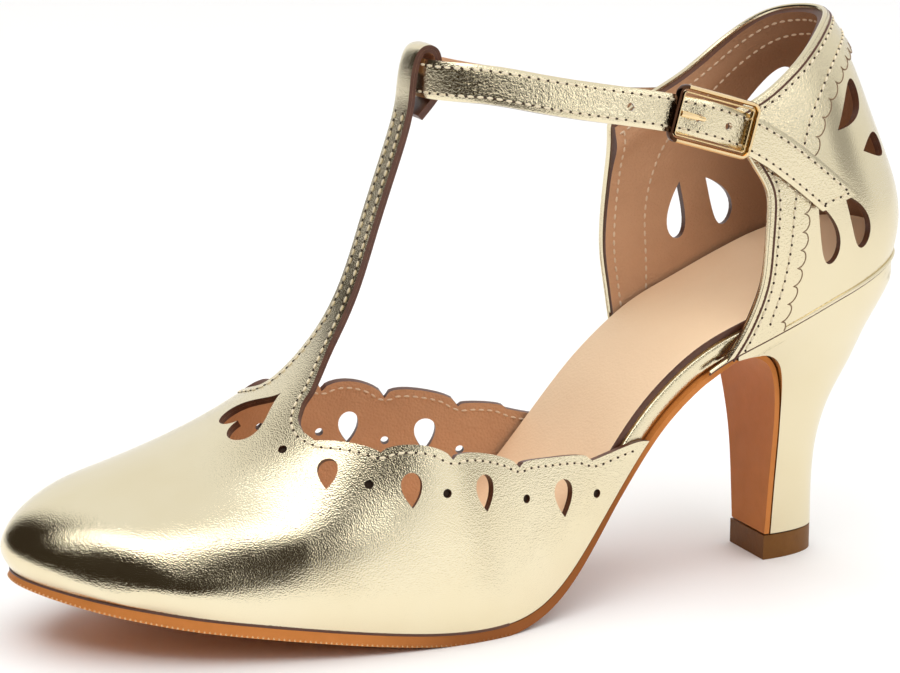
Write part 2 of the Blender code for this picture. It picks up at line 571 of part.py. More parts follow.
def build_quarter():
    """Heel quarter, the scalloped band over it and the strip down its back seam."""
    columns = np.linspace(SEAT_RUN[0] + SHEET_SLACK, SEAT_RUN[-1] - SHEET_SLACK, QUARTER_COLUMNS)
    fronts = [wing_front(1), wing_front(2)]
    rows = np.linspace(0, QUARTER_SCALE, QUARTER_ROWS)
    sheet = flat_sheet(columns, rows, fronts + [petal(row) for row in PETALS])
    finish("quarter", lasted(sheet, quarter, quarter_facing, QUARTER_SCALE, 0, -UPPER_WALL))
    rows = np.linspace(BAND_FOOT, QUARTER_SCALE, BAND_ROWS)
    sheet = flat_sheet(columns, rows, fronts + [band_back()])
    outside = GAP + BAND_THICK
    finish("collar_band", lasted(sheet, quarter, quarter_facing, QUARTER_SCALE, outside, GAP))
    columns = np.linspace(-BACK_STRIP_HALF, BACK_STRIP_HALF, STRIP_COLUMNS)
    rows = np.linspace(BAND_FOOT, BACK_STRIP_TOP * QUARTER_SCALE, STRIP_ROWS)
    sheet = flat_sheet(columns, rows, [])
    finish("back_strip", lasted(sheet, quarter, quarter_facing, QUARTER_SCALE, outside, GAP))


def bed_layer(name, inset, low, high):
    """Flat layer lying along the bed from toe to heel."""
    x = stations(*BED_STATIONS)
    outer, inner = plan_sides(x, inset)
    rings = []
    for first, second in zip(outer, inner):
        across = [first + (second - first) * t for t in np.linspace(0, 1, ACROSS)]
        under = [lifted(point[0], point[1], low) for point in across]
        above = [lifted(point[0], point[1], high) for point in reversed(across)]
        rings.append(under + above)
    finish(name, ring_loft(rings))


breast_run = chords([row[:2] for row in BREAST])
breast_line = spline(breast_run, [row[:2] for row in BREAST])


def breast_point(run, back):
    """Point on the flap's heel side, set back square to it."""
    here = breast_line(run)
    way = breast_line(run + STEP) - breast_line(run - STEP)
    way /= np.linalg.norm(way)
    return here + np.array([-way[1], way[0]]) * back


def build_outsole():
    """Outsole from the toe through the waist and down the front of the heel."""
    rings = []
    for x in stations(*SOLE_STATIONS):
        if x > BREAST[0][0] - BREAST_TURN:
            break
        waist = np.clip((x - WAIST_START) / (WAIST_END - WAIST_START), 0, 1)
        tip = np.clip((TIP_REACH - x) / (TIP_REACH - TOE_TIP), 0, 1) ** 2
        thick = OUTSOLE_FORE + (OUTSOLE_WAIST - OUTSOLE_FORE) * waist + (OUTSOLE_TIP - OUTSOLE_FORE) * tip
        low, high = feather(np.array(x))
        across = np.linspace(low + WAIST_INSET * waist, high - WAIST_INSET * waist, ACROSS)
        under = np.array([lifted(np.array(x), y, -GAP - thick) for y in across])
        under[:, 2] = np.maximum(under[:, 2], 0)
        above = [lifted(np.array(x), y, -GAP) for y in across[::-1]]
        rings.append(list(under) + above)
    for run, row in zip(breast_run, BREAST):
        half = row[2]
        across = np.linspace(-half, half, ACROSS)
        front = breast_point(run, -OUTSOLE_WAIST)
        back = breast_point(run, 0)
        ring = [(front[0], y, front[1]) for y in across]
        rings.append(ring + [(back[0], y, back[1]) for y in across[::-1]])
    finish("outsole", ring_loft(rings))


def d_ring(front, back, half, power, bow):
    """Level of the heel: straight across the front, round at the back, bowed up along the sides."""
    turn = np.linspace(-math.pi / 2, math.pi / 2, HEEL_STEPS)
    inward = np.abs(np.cos(turn)) ** (2 / power)
    side = np.sign(turn) * np.abs(np.sin(turn)) ** (2 / power)
    x = front[0] + (back[0] - front[0]) * inward
    z = front[1] + (back[1] - front[1]) * inward + 4 * bow * inward * (1 - inward)
    return list(zip(x, half * side, z))


def under_seat(ring):
    """Keep a level of the heel within the feather line above it."""
    points = np.array(ring)
    outer, inner = feather(points[:, 0])
    points[:, 1] = np.clip(points[:, 1], outer, inner)
    return [tuple(point) for point in points]


def build_heel():
    """Covered heel, its top cut to the seat, and the top piece under it."""
    rings = []
    for run, row in zip(breast_run, BREAST):
        rings.append(d_ring(breast_point(run, GAP), row[3:5], *row[5:]))
    rings[0] = under_seat(rings[0])
    top = [(x, y, z + SEAT_SLACK) for x, y, z in rings[0]]
    seat = []
    for x in np.linspace(-SEAT_HALF_LONG, SEAT_HALF_LONG, SEAT_ROWS):
        across = np.linspace(-SEAT_HALF_WIDE, SEAT_HALF_WIDE, SEAT_COLUMNS)
        under = [(x, y, float(bed(np.array(x), y)) - GAP) for y in across]
        seat.append(under + [(x, y, SEAT_TOP) for y in across[::-1]])
    finish("heel", cut(ring_loft([top] + rings), ring_loft(seat)))
    last = BREAST[-1]
    front = (last[0] - OUTSOLE_WAIST - GAP, 0)
    ring = d_ring(front, (last[3], 0), *last[5:])
    finish("top_piece", ring_loft([ring, [(x, y, TOP_PIECE_HIGH) for x, y, z in ring]]))


strap_run = chords([row[:3] for row in STRAP_LINE])
strap_line = spline(strap_run, STRAP_LINE)


def strap_frame(run):
    """Middle point, way along, way up and way out of the ankle strap."""
    here = strap_line(run)
    way = (strap_line(run + STEP) - strap_line(run - STEP))[:3]
    way /= np.linalg.norm(way)
    lean, roll = np.radians(here[3:])
    up = np.array([math.sin(lean), 0, math.cos(lean)])
    up -= way * up.dot(way)
    up /= np.linalg.norm(up)
    out = np.cross(way, up)
    return (here[:3], way, up * math.cos(roll) - out * math.sin(roll),
            out * math.cos(roll) + up * math.sin(roll))


def build_strap():
    """Ankle strap from the inner wing through the loop to its slanted tail."""
    rings = []
    for k in range(STRAP_STEPS + 1):
        here, way, up, out = strap_frame(strap_run[-1] * k / STRAP_STEPS)
        slant = TAIL_SLANT if k == STRAP_STEPS else 0
        corners = ((-1, 1), (1, 1), (1, -1), (-1, -1))
        rings.append([here + up * STRAP_WIDE / 2 * a + out * STRAP_THICK / 2 * b + way * slant * a
                      for a, b in corners])
    finish("ankle_strap", ring_loft(rings))


def build_buckle():
    """Rounded oblong frame over the strap and the prong lying in it."""
    here, way, up, out = strap_frame(strap_run[-1] * BUCKLE_AT)
    level = STRAP_THICK / 2 + GAP + BUCKLE_BAR / 2
    middle = here + out * level
    half = np.array((BUCKLE_LONG, BUCKLE_WIDE)) / 2 - BUCKLE_CORNER - BUCKLE_BAR / 2
    rings = []
    for corner in range(4):
        for step in range(CORNER_STEPS + 1):
            turn = math.pi / 2 * (corner + step / CORNER_STEPS)
            sign = ((1, 1), (-1, 1), (-1, -1), (1, -1))[corner]
            spoke = np.array((math.cos(turn), math.sin(turn)))
            centre = half * sign + spoke * BUCKLE_CORNER
            ring = []
            for a, b in ((-1, -1), (1, -1), (BUCKLE_CROWN, 1), (-BUCKLE_CROWN, 1)):
                flat = centre + spoke * a * BUCKLE_BAR / 2
                ring.append(middle + way * flat[0] + up * flat[1] + out * b * BUCKLE_BAR / 2)
            rings.append(ring)
    finish("buckle_frame", ring_loft(rings, closed=True))
    start = -BUCKLE_LONG / 2 + BUCKLE_BAR + GAP
    rings = []
    for place in (start, start + PRONG_LONG):
        corners = ((-1, -1), (1, -1), (1, 1), (-1, 1))
        rings.append([middle + way * place + (up * a + out * b) * PRONG_THICK / 2 for a, b in corners])
    finish("buckle_prong", ring_loft(rings))


for old in list(bpy.data.objects):
    bpy.data.objects.remove(old)
pump = bpy.data.collections.new("ankle_strap_pump")
bpy.context.scene.collection.children.link(pump)
build_outsole()
bed_layer("insole", INSOLE_INSET, 0.0, INSOLE_THICK)
bed_layer("sock", SOCK_INSET, INSOLE_THICK + GAP, INSOLE_THICK + GAP + SOCK_THICK)
build_vamp()
build_quarter()
build_heel()
build_strap()
build_buckle()
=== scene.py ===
"""Ankle strap pump: fine leather, lining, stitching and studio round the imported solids."""
import math

import bmesh
import bpy
import numpy as np
from mathutils import Matrix, Vector


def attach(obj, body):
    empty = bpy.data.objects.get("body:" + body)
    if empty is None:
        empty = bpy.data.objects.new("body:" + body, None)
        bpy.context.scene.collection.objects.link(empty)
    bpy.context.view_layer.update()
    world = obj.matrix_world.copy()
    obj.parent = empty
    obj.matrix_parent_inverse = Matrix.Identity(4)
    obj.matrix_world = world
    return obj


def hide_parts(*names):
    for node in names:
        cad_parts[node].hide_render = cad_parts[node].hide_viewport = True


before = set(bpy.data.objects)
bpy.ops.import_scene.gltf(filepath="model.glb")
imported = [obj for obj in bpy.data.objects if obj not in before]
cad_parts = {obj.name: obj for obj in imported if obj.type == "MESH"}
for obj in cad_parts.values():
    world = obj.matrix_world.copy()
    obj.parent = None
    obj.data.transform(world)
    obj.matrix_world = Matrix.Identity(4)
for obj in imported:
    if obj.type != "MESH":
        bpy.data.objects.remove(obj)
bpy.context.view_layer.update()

MM = 0.001
GAP = 0.3
UPPER_WALL, LEATHER = 1.8, 0.95
BAND_THICK = 0.9
BAND_LEVEL = GAP + BAND_THICK
OUTSOLE_FORE, OUTSOLE_WAIST, OUTSOLE_TIP = 3.0, 1.4, 1.9
INSOLE_THICK, SOCK_THICK = 4.4, 1.9
INSOLE_INSET = UPPER_WALL + GAP
SOCK_INSET = INSOLE_INSET + 0.2
INSOLE_CORNER, SOCK_CORNER, CORNER_MOST = 0.9, 0.5, 0.45
SKIN_GAP = 0.02
STRAP_WIDE, STRAP_THICK = 9.2, 1.7
TOP_PIECE_HIGH = 6.5
# where the outsole starts to thin towards the toe's tip and towards the waist, and its inset there
TIP_REACH, WAIST_START, WAIST_END, WAIST_INSET = -165.0, -95.0, -60.0, 0.4
# a face of the sock is painted as an edge where it looks this far sideways
SIDEWAYS = 0.6
TOE_START, TOE_TIP, TOE_ROUND = -182.0, -203.3, 2.2
SEAT_START, SEAT_END, SEAT_ROUND = 4.0, 29.2, 2.0
QUARTER_FRONT = -44.0

# x, height of the insole's underside along the middle of the shoe
BED = (
    (-207, 19.2), (-190, 15.9), (-170, 12.4), (-147, 8.8), (-125, 5.4), (-108, 3.3), (-98, 3.0),
    (-88, 3.9), (-80, 6.8), (-71, 13.6), (-62, 23.6), (-53, 34.6), (-46, 42.6), (-38, 50.0),
    (-30, 56.0), (-20, 61.3), (-8, 67.1), (6, 73.4), (20, 78.2), (34, 81.4),
)
# x, how much higher the inner edge of the waist lies
ARCH = ((-120, 0), (-100, 0.2), (-80, 1.6), (-55, 4), (-35, 4.2), (-15, 2), (5, 0.2), (25, 0), (40, 0))
# width over which the arch rises, share of it below the outer and above the inner edge
ARCH_ACROSS, ARCH_SHARES = 50.0, (-0.1, 1.1)
# x, outer side, inner side of the feather line where the upper meets the sole
SIDES = (
    (-182, -20, 29.5), (-170, -26.3, 33.8), (-155, -31.2, 36.6), (-140, -34.6, 37.8),
    (-125, -36.6, 37.6), (-110, -37.2, 36), (-95, -36.2, 32.8), (-85, -33.4, 30), (-77, -30.4, 27.6),
    (-68, -27, 25.2), (-58, -24, 23.4), (-48, -22, 22.4), (-38, -21.3, 22.2), (-28, -22, 22.8),
    (-16, -24, 24.2), (-5, -25.4, 25.4), (4, -25.6, 25.6),
)
# Arches of the forefoot, from the toe's feather to the folded end of the instep strap:
# foot x, ridge x, ridge height, ridge y, taper, roundness, bulge, bulge height
ARCHES = (
    (-182, -203.3, 18.6, 6.4, 0.40, 2.2, 0.0, 8),
    (-181, -205.3, 22.7, 6.5, 0.38, 2.2, 0.8, 8),
    (-179, -203.1, 28.8, 7.0, 0.35, 2.2, 1.6, 8),
    (-176, -197.0, 34.0, 7.5, 0.30, 2.2, 2.4, 9),
    (-171, -189.4, 37.4, 8.0, 0.22, 2.2, 3.0, 10),
    (-164, -177.0, 40.8, 8.0, 0.14, 2.2, 3.2, 11),
    (-154, -162.5, 45.1, 7.5, 0.08, 2.2, 3.0, 12),
    (-143, -149.5, 50.7, 6.0, 0.04, 2.2, 2.6, 12),
    (-131, -138.0, 57.5, 4.0, 0.0, 2.25, 2.2, 12),
    (-117, -126.2, 68.4, 2.0, 0.0, 2.35, 1.8, 12),
    (-102, -119.9, 80.6, 0.5, 0.0, 2.5, 1.4, 12),
    (-86, -114.6, 97.0, 0.0, 0.0, 2.7, 1.0, 12),
    (-68, -107.9, 116.0, 0.0, 0.0, 2.8, 0.6, 12),
    (-54, -105.3, 126.4, 0.0, 0.0, 2.8, 0.3, 12),
    (-49, -104.8, 131.0, 0.0, 0.0, 2.8, 0.3, 12),
    (-47, -103.8, 135.6, 0.0, 0.0, 2.8, 0.3, 12),
    (-45.5, -102.1, 138.5, 0.0, 0.0, 2.8, 0.3, 12),
    (-44, -99.6, 139.2, 0.0, 0.0, 2.8, 0.3, 12),
    (-42.6, -97.4, 137.9, 0.0, 0.0, 2.8, 0.3, 12),
    (-41.6, -96.6, 135.4, 0.0, 0.0, 2.8, 0.3, 12),
    (-40.6, -96.5, 131.4, 0.0, 0.0, 2.8, 0.3, 12),
    (-39.6, -97.0, 127.2, 0.0, 0.0, 2.8, 0.2, 12),
    (-38.2, -99.2, 124.0, 0.0, 0.0, 2.8, 0.2, 12),
    (-36.5, -101.8, 121.2, 0.0, 0.0, 2.8, 0.2, 12),
)
# edges of the instep strap from its root to its folded end: along the arches, angle from the ridge
OUTER_STRAP = (
    (69.2, -31.1), (69.1, -28.3), (69.6, -25.1), (70.9, -22.6), (72.7, -20.1), (74.8, -18.7), (76.9, -16.6),
    (80.8, -12.2), (84.8, -8.5), (89.8, -6.2), (99.8, -5.5), (108, -6), (117, -6.8), (128, -7.5),
    (138, -8.4), (146, -9), (155, -9.4), (168, -9.6), (190, -9.6),
)
INNER_STRAP = (
    (67.3, 20), (67.6, 15), (68.3, 10.3), (69.8, 7.4), (72.2, 6.6), (74.3, 6.8), (77.5, 7.5), (80.6, 8.4),
    (84, 9.2), (89.6, 9.4), (100, 8.2), (108, 7.5), (117, 7.6), (128, 8.6), (138, 10), (146, 10.6),
    (155, 11), (168, 11), (190, 11),
)
# cusps of the scalloped topline: along the arches, angle down from the ridge, bump up to the next
OUTER_CUSPS = (
    (70.6, 35.6, 0.4), (84.8, 49.5, 1.6), (105.6, 61.4, 1.6), (126.4, 72, 1.6), (142.6, 83, 0),
    (154.6, 91, 0),
)
INNER_CUSPS = (
    (67.9, 24.5, 1.4), (81.1, 44.4, 1.6), (96.8, 56, 2.0), (116.9, 66.4, 2.2), (134, 76.2, 0.8),
    (141.8, 83, 0), (148, 91, 0),
)
# teardrops: along the arches, angle from the ridge, width, length
TEARDROPS = (
    (70.3, -46.4, 5.2, 7.6), (90.4, -60.6, 5.4, 8.4), (112.8, -69.7, 5.6, 9.0), (134.6, -81.6, 6.0, 9.4),
    (65.0, 60.5, 5.2, 7.6), (85.0, 57.7, 5.4, 8.4), (103.5, 66.7, 5.6, 9.0), (124.4, 75.6, 5.8, 9.2),
)
# punched pinholes between the teardrops: along the arches, angle from the ridge
PINHOLES = (
    (63.1, -32.6), (79.3, -54.2), (100.5, -65.0), (125.3, -75.9), (141, -86.6),
    (57.2, 48.1), (75.3, 53.5), (94.3, 64.3), (113.4, 72.3), (131.1, 81.3),
)
# pinhole width, and how far past it and with how many sides the painted shade discs behind them reach
PINHOLE_WIDE, PLUG_OVER, PLUG_SIDES = 2.2, 0.1, 16
LOOP_START = 146.0
# the dark end of the folded instep strap: everything behind this x and between these heights
TAB_FRONT, TAB_LOW, TAB_TOP = -103.4, 118.0, 132.0
HEART_AT, HEART_ANGLE, HEART_LONG, HEART_WIDE = 62.5, -8.9, 16.4, 16.4
HEART_WAY, TEARDROP_WAY = (1, -0.09, 0), (0, 0, -1)
# cosine waves of the heart's length and their whole height, fullness of the teardrop
HEART_WAVES, HEART_HIGH, DROP_FULLNESS = (13, -5, -2, -1), 29.0, 0.62

# x on the feather line, height of the collar above it
COLLAR = (
    (-44, 110), (-36, 112.8), (-18, 119.6), (-7, 123.6), (3, 128.8), (13, 135.0), (22, 140.0), (31.5, 142.4),
)
# share of the quarter's height, lean of its back, width factor
LEVELS = (
    (0, 0, 1.0), (0.12, 1.6, 1.03), (0.25, 1.0, 1.06), (0.44, -3.2, 1.07),
    (0.615, -7.8, 1.05), (0.78, -12.0, 0.99), (0.9, -16.0, 0.92), (1, -20.5, 0.84),
)
BACK_PINCH, BACK_LEAN_POWER = 0.24, 0.85
QUARTER_SCALE = 60.0
# share of the height, outer front edge, inner front edge, both along the feather line from the back
WING_FRONTS = (
    (-0.1, -76.5, 79), (0, -72.4, 80), (0.04, -70.2, 80.4), (0.14, -66.7, 81.2), (0.29, -63.2, 82),
    (0.41, -61.4, 82.6), (0.55, -59.2, 82.4), (0.65, -58.2, 81.8), (0.77, -60, 81), (0.9, -62, 80.4),
    (1.1, -64, 82),
)
# the band's scalloped edge: along the feather line from the back, share of the height
BAND_EDGE = (
    (-59, -0.08), (-58.6, 0.04), (-57.6, 0.12), (-56.2, 0.2), (-54.8, 0.28), (-53.2, 0.36), (-51.4, 0.455),
    (-49, 0.56), (-46, 0.655), (-42.4, 0.735), (-38.6, 0.79), (-33.6, 0.832), (-28, 0.858),
    (-19.6, 0.871), (-10, 0.876), (0, 0.877), (10, 0.876), (19.6, 0.871), (28, 0.86), (37, 0.843),
    (46, 0.81), (54, 0.765), (60.4, 0.7), (64.6, 0.6), (67.6, 0.46), (68.6, 0.3), (69, 0.14), (69, -0.08),
)
BAND_PITCH, BAND_RISE, BAND_FOOT = 4.4, 1.7, 0.8
# inset and width of the collar piping, width of the painted shade line along the scallops
PIPING_IN, PIPING_WIDE, SCALLOP_SHADE_WIDE = 1.25, 0.6, 0.45
SEAT_WELT, SEAT_WELT_UP, SEAT_WELT_OUT = 0.9, 0.7, 0.2
BEAD_OUT, BEAD_RADIUS = 0.35, 0.75
# padding under the collar: thickness, share of the height at its middle, reach
PAD_THICK, PAD_AT, PAD_REACH = 1.1, 0.9, 0.075
# petals: pointed end and round end, each along and share of the height, then the width and the bow
PETALS = (
    (-34.8, 0.693, -21.0, 0.765, 7.0, 1.0), (-28.6, 0.54, -17.6, 0.475, 6.0, -0.7),
    (-45.9, 0.49, -45.2, 0.205, 5.4, -0.6), (-38.6, 0.45, -35.9, 0.19, 5.6, -1.0),
    (36.4, 0.68, 19.5, 0.745, 7.2, -1.0), (28.6, 0.54, 17.6, 0.475, 6.0, 0.7),
    (58.0, 0.53, 61.2, 0.275, 6.2, -1.0), (49.8, 0.48, 46.8, 0.225, 6.0, 1.0),
)
BACK_STRIP_HALF, BACK_STRIP_TOP = 2.6, 0.832

# front x, front height, flap half width, heel back x, heel back height, heel half width, roundness, bow
BREAST = (
    (-24.0, 57.8, 19.0, 29.2, 79.2, 25.4, 3.4, 2.4),
    (-17.5, 58.6, 17.6, 26.6, 70.0, 23.0, 3.0, 1.6),
    (-11.8, 56.2, 16.9, 23.0, 61.5, 20.2, 2.6, 0.8),
    (-8.2, 50.0, 15.2, 19.6, 52.0, 16.6, 2.3, 0),
    (-6.7, 42.0, 13.6, 15.0, 43.0, 13.9, 2.2, 0),
    (-6.0, 33.0, 11.8, 11.6, 33.0, 12.0, 2.1, 0),
    (-5.8, 24.0, 10.4, 10.4, 24.0, 10.6, 2.1, 0),
    (-5.8, 15.0, 9.4, 10.3, 15.0, 9.6, 2.1, 0),
    (-5.8, 6.9, 8.6, 10.6, 6.9, 8.8, 2.1, 0),
)
# the heel's blank reaches up past the seat, and a block of these half sizes trims it
SEAT_SLACK, SEAT_HALF_LONG, SEAT_HALF_WIDE, SEAT_TOP = 12.0, 45.0, 35.0, 120.0
# the sole stops this far before the flap's first row and bends into it
BREAST_TURN = 8.0

# ankle strap's middle line: x, y, z, lean of its width towards the heel, roll of its outer face upwards
STRAP_LINE = (
    (-20, 25.6, 115.4, 2, 0), (-30, 24.8, 116.0, 2, 0), (-41, 23.8, 117.6, 3, 0), (-55, 21.6, 120.6, 4, 0),
    (-72, 17.6, 124.6, 5, 0), (-88, 12.2, 128.4, 5, 0), (-96.4, 8.4, 130.4, 5, 0),
    (-100.4, 4.4, 130.9, 5, 0), (-101.2, 0, 131.1, 5, 0), (-100.6, -4.4, 131.1, 5, 1),
    (-97.0, -9.0, 130.8, 5, 7), (-89.4, -13.4, 130.2, 5, 15), (-77, -18.8, 127.9, 5, 16),
    (-60, -23.4, 124.9, 4, 10), (-45, -26.0, 122.2, 3, 6), (-35, -27.2, 119.6, 2, 4),
    (-24.5, -27.9, 115.4, 2, 2),
    (-12.0, -28.8, 107.2, 2, 0), (-0.5, -29.5, 97.8, 2, 0),
)
TAIL_SLANT, TAIL_BEYOND, CUT_OVER = 3.0, 9.0, 1.0
STRAP_SWELL, STRAP_SWELL_REACH, STRAP_MARGIN = 1.0, 8.6, 0.95
# level where the strap's leather meets its back, drop of its edges, share of its width that stays level
STRAP_SPLIT, STRAP_EDGE_DROP, STRAP_LEVEL = -0.15, 0.35, 0.55
STRAP_HOLE, STRAP_HOLES_AT = 2.0, (-21.0, -3.6, 4.4)
BUCKLE_AT, BUCKLE_LONG, BUCKLE_WIDE, BUCKLE_BAR = 0.797, 22.4, 14.2, 2.0
# sections of the buckle's ring and lip: outward, share of the bar's half thickness
RING_SECTION = ((0.0, -1), (0.0, 0.45), (-0.3, 1), (-0.85, 1), (-1.1, 0.45), (-1.1, -1))
LIP_SECTION = ((-1.5, -1), (-1.5, 0.1), (-1.65, 0.4), (-1.85, 0.4), (-2.0, 0.1), (-2.0, -1))
PRONG_LONG, PRONG_THICK, PRONG_TAPER, PRONG_DROP = 9.0, 1.4, 0.35, 2.0
# reach of the painted dark reflection along the buckle's end bar, and the ring's corner radius
DARK_REFLECTION_BAR, RING_CORNER = 2.3, 2.4

# soft swells of the vamp: start and end, each along, angle from the ridge and height
SWELLS = (
    ((22, -46, 0.1), (60, -65, 1.2)), ((60, -65, 1.2), (100, -73, 0.2)),
)
# reach of a swell, millimetres to a degree of angle
SWELL_HALF, ANGLE_REACH = 9.0, 0.75

STITCH_PITCH, STITCH, NEEDLE_HOLE = 2.3, (1.65, 0.66, 0.55), (0.75, 0.62, 0.20)
# lift of the stitches off the leather, points along a row, half length read for a stitch's way
SEW_LIFT, SEW_STEP, EDGE_STEP, FINE_STEP, SEW_WAY = 0.05, 0.8, 1.0, 0.6, 0.4
# stitch rows in from the topline, the collar, the scallops, the strap's edges and its tail
TOPLINE_SEW, COLLAR_SEW, SCALLOP_SEW, STRAP_SEW, TAIL_SEW = 1.9, 2.4, 2.6, 1.35, 1.6
# rows stop short of the loop, the feather, the seat and the strap's ends
LOOP_SEW, FEATHER_SEW, SEAT_SEW, SCALLOP_FOOT, STRAP_END_SEW = 2.0, 88.0, 1.0, 2.0, 2.0
# the tail's cross row: reach along its slant and across the strap
TAIL_ALONG, TAIL_ACROSS = 0.55, 0.6
NOTCH_END, NOTCH_PITCH, NOTCH_WIDE, NOTCH_UP = -93.0, 1.25, 0.62, 0.25
# inset and radius of the painted shade bead in the joint under the upper
JOINT_IN, JOINT_RADIUS = 0.35, 0.55

# counts of the meshes: columns up to the loop, columns in it, rows; or columns and rows
VAMP_MESH, VAMP_LINING_MESH = (150, 90, 121), (90, 60, 81)
QUARTER_MESH, BAND_ROWS, STRIP_MESH = (150, 61), 60, (9, 50)
STRAP_MESH, STRAP_BACK_MESH = (260, 15), (160, 7)
BED_STATIONS, SOLE_STATIONS, EDGE_STATIONS, SOLE_ACROSS = (24, 90, 24), (24, 120, 2), (40, 160, 2), 10
BREAST_STEPS, HEEL_STEPS, SEAT_ROWS, SEAT_COLUMNS = 40, 48, 60, 12
SEAT_SIDE_STEPS, SEAT_BACK_STEPS, INSTEP_STEPS, WING_STEPS = 60, 80, 120, 70
COLLAR_STEPS, SEAM_STEPS, STRAP_SEW_STEPS, TAIL_SEW_STEPS = 120, 160, 300, 20
CORNER_STEPS, PRONG_STEPS, PRONG_SIDES, BEAD_SIDES, COLLAR_SIDES = 7, 8, 10, 8, 10
# a way that no bead starts along
BEAD_START = (0.31, 0.17, 0.93)
# steps to either side for reading slopes, and how near the edges they are read
STEP, FLARE_STEP, ALONG_STEP, ANGLE_STEP, SHARE_STEP, STRAP_STEP = 0.2, 0.5, 0.4, 0.8, 0.01, 0.3
TOE_CLEAR, LOOP_CLEAR, STEEPEST, END_CLEAR, RIM_CLEAR = 3.0, 0.5, 86.0, 1.0, 0.02
# turn left open at the toe's tip and the seat's back, parts of the ridge's and the foot's travel
TIP_TURN, RIDGE_PART, FOOT_PART, LEAST_TRAVEL = 0.03, 0.6, 0.4, 1.0
# cutters reach past the pattern's edges, the feather's angle and both sides of the sheet
OVERRUN, BEYOND_FEATHER, CUTTER_LOW, CUTTER_HIGH = 5.0, 95.0, -1.0, 2.0
SHEET_SLACK, MERGE_GAP, WING_CLEAR = 0.2, 0.02, 0.5

# where looks change along the shoe, in metres: the smooth toe, the painted shade on the gold towards the
# heel, the painted shade on the lining inside the heel cup, and the darker sole
SMOOTH_TOE, GOLD_PAINTED_SHADE, LINING_PAINTED_SHADE = (-0.185, -0.140), (-0.090, -0.030), (-0.022, 0.012)
WAIST_DARKENS, WAIST_PALES = (-0.135, -0.100), (-0.062, -0.040)


def spline(at, rows):
    """Return the natural cubic through the rows, one row per place."""
    at = np.array(at, float)
    rows = np.array(rows, float)
    gap = np.diff(at)
    count = len(at)
    pull = np.eye(count)
    load = np.zeros_like(rows)
    for k in range(1, count - 1):
        pull[k, k - 1:k + 2] = gap[k - 1], 2 * (gap[k - 1] + gap[k]), gap[k]
        load[k] = 6 * ((rows[k + 1] - rows[k]) / gap[k] - (rows[k] - rows[k - 1]) / gap[k - 1])
    bend = np.linalg.solve(pull, load)

    def value(place):
        place = np.asarray(place, float)
        k = np.clip(np.searchsorted(at, place) - 1, 0, count - 2)
        shape = place.shape + (1,) * (rows.ndim - 1)
        width = gap[k].reshape(shape)
        after = (place - at[k]).reshape(shape)
        before = width - after
        curve = (bend[k] * before ** 3 + bend[k + 1] * after ** 3) / (6 * width)
        line = (rows[k] / width - bend[k] * width / 6) * before
        return curve + line + (rows[k + 1] / width - bend[k + 1] * width / 6) * after

    return value


def by_column(table):
    """Spline a table whose first column is the place."""
    return spline([row[0] for row in table], [row[1:] for row in table])


def unit(vectors):
    """Vectors brought to a length of one."""
    return vectors / np.linalg.norm(vectors, axis=-1, keepdims=True)


def chords(points):
    """Running length of a line of points."""
    steps = np.linalg.norm(np.diff(np.asarray(points, float), axis=0), axis=1)
    return np.concatenate([[0.0], np.cumsum(steps)])


bed_middle = by_column(BED)
bed_arch = by_column(ARCH)
side_lines = by_column(SIDES)
collar_height = by_column(COLLAR)
level_shape = by_column(LEVELS)
TOE_FLARE = (side_lines(TOE_START + FLARE_STEP) - side_lines(TOE_START)) / FLARE_STEP


def bed(x, y):
    """Height of the insole's underside."""
    inner = np.clip(0.5 + np.asarray(y) / ARCH_ACROSS, *ARCH_SHARES)
    arch = np.where(np.asarray(x) > ARCH[0][0], bed_arch(x)[..., 0], 0)
    return bed_middle(x)[..., 0] + arch * inner


def lifted(x, y, rise):
    """Point lying a distance above the insole's underside, square to its slope."""
    slope = np.arctan((bed(x + STEP, y) - bed(x - STEP, y)) / (2 * STEP))
    return np.stack([x - rise * np.sin(slope), y, bed(x, y) + rise * np.cos(slope)], -1)


def feather(x):
    """Outer and inner y of the feather line."""
    x = np.asarray(x, float)
    sides = side_lines(np.clip(x, TOE_START, SEAT_START))
    sides = sides + np.minimum(x - TOE_START, 0)[..., None] * TOE_FLARE
    middle = sides.mean(-1)
    half = (sides[..., 1] - sides[..., 0]) / 2
    toe = np.clip((TOE_START - x) / (TOE_START - TOE_TIP), 0, 1)
    seat = np.clip((x - SEAT_START) / (SEAT_END - SEAT_START), 0, 1)
    half = half * (1 - toe ** TOE_ROUND) ** (1 / TOE_ROUND) * (1 - seat ** SEAT_ROUND) ** (1 / SEAT_ROUND)
    return middle - half, middle + half


def stations(toe_steps, side_steps, seat_steps):
    """Places along the shoe, close together at the round toe and seat."""
    toe = np.cos(np.linspace(TIP_TURN, math.pi / 2, toe_steps)) ** (2 / TOE_ROUND)
    seat = np.sin(np.linspace(0, math.pi / 2 - TIP_TURN, seat_steps)) ** (2 / SEAT_ROUND)
    return np.concatenate([
        TOE_START - (TOE_START - TOE_TIP) * toe,
        np.linspace(TOE_START, SEAT_START, side_steps)[1:-1],
        SEAT_START + (SEAT_END - SEAT_START) * seat,
    ])


def plan_sides(x, inset):
    """Outer and inner edge points of the sole's plan, set in square to the outline."""
    edges = []
    for side, y in zip((-1, 1), feather(x)):
        along = unit(np.stack([np.gradient(x), np.gradient(y)], -1))
        outward = np.stack([-along[:, 1], along[:, 0]], -1) * side
        edges.append(np.stack([x, y], -1) - outward * inset)
    return edges


def arch_places():
    """Place of each arch: part of its ridge's travel and part of its foot's."""
    rows = np.array(ARCHES)
    ridge = np.hypot(np.diff(rows[:, 1]), np.diff(rows[:, 2]))
    travel = RIDGE_PART * ridge + FOOT_PART * np.diff(rows[:, 0])
    return np.concatenate([[0.0], np.cumsum(np.maximum(travel, LEAST_TRAVEL))])


ARCH_AT = arch_places()
arch_shape = spline(ARCH_AT, ARCHES)


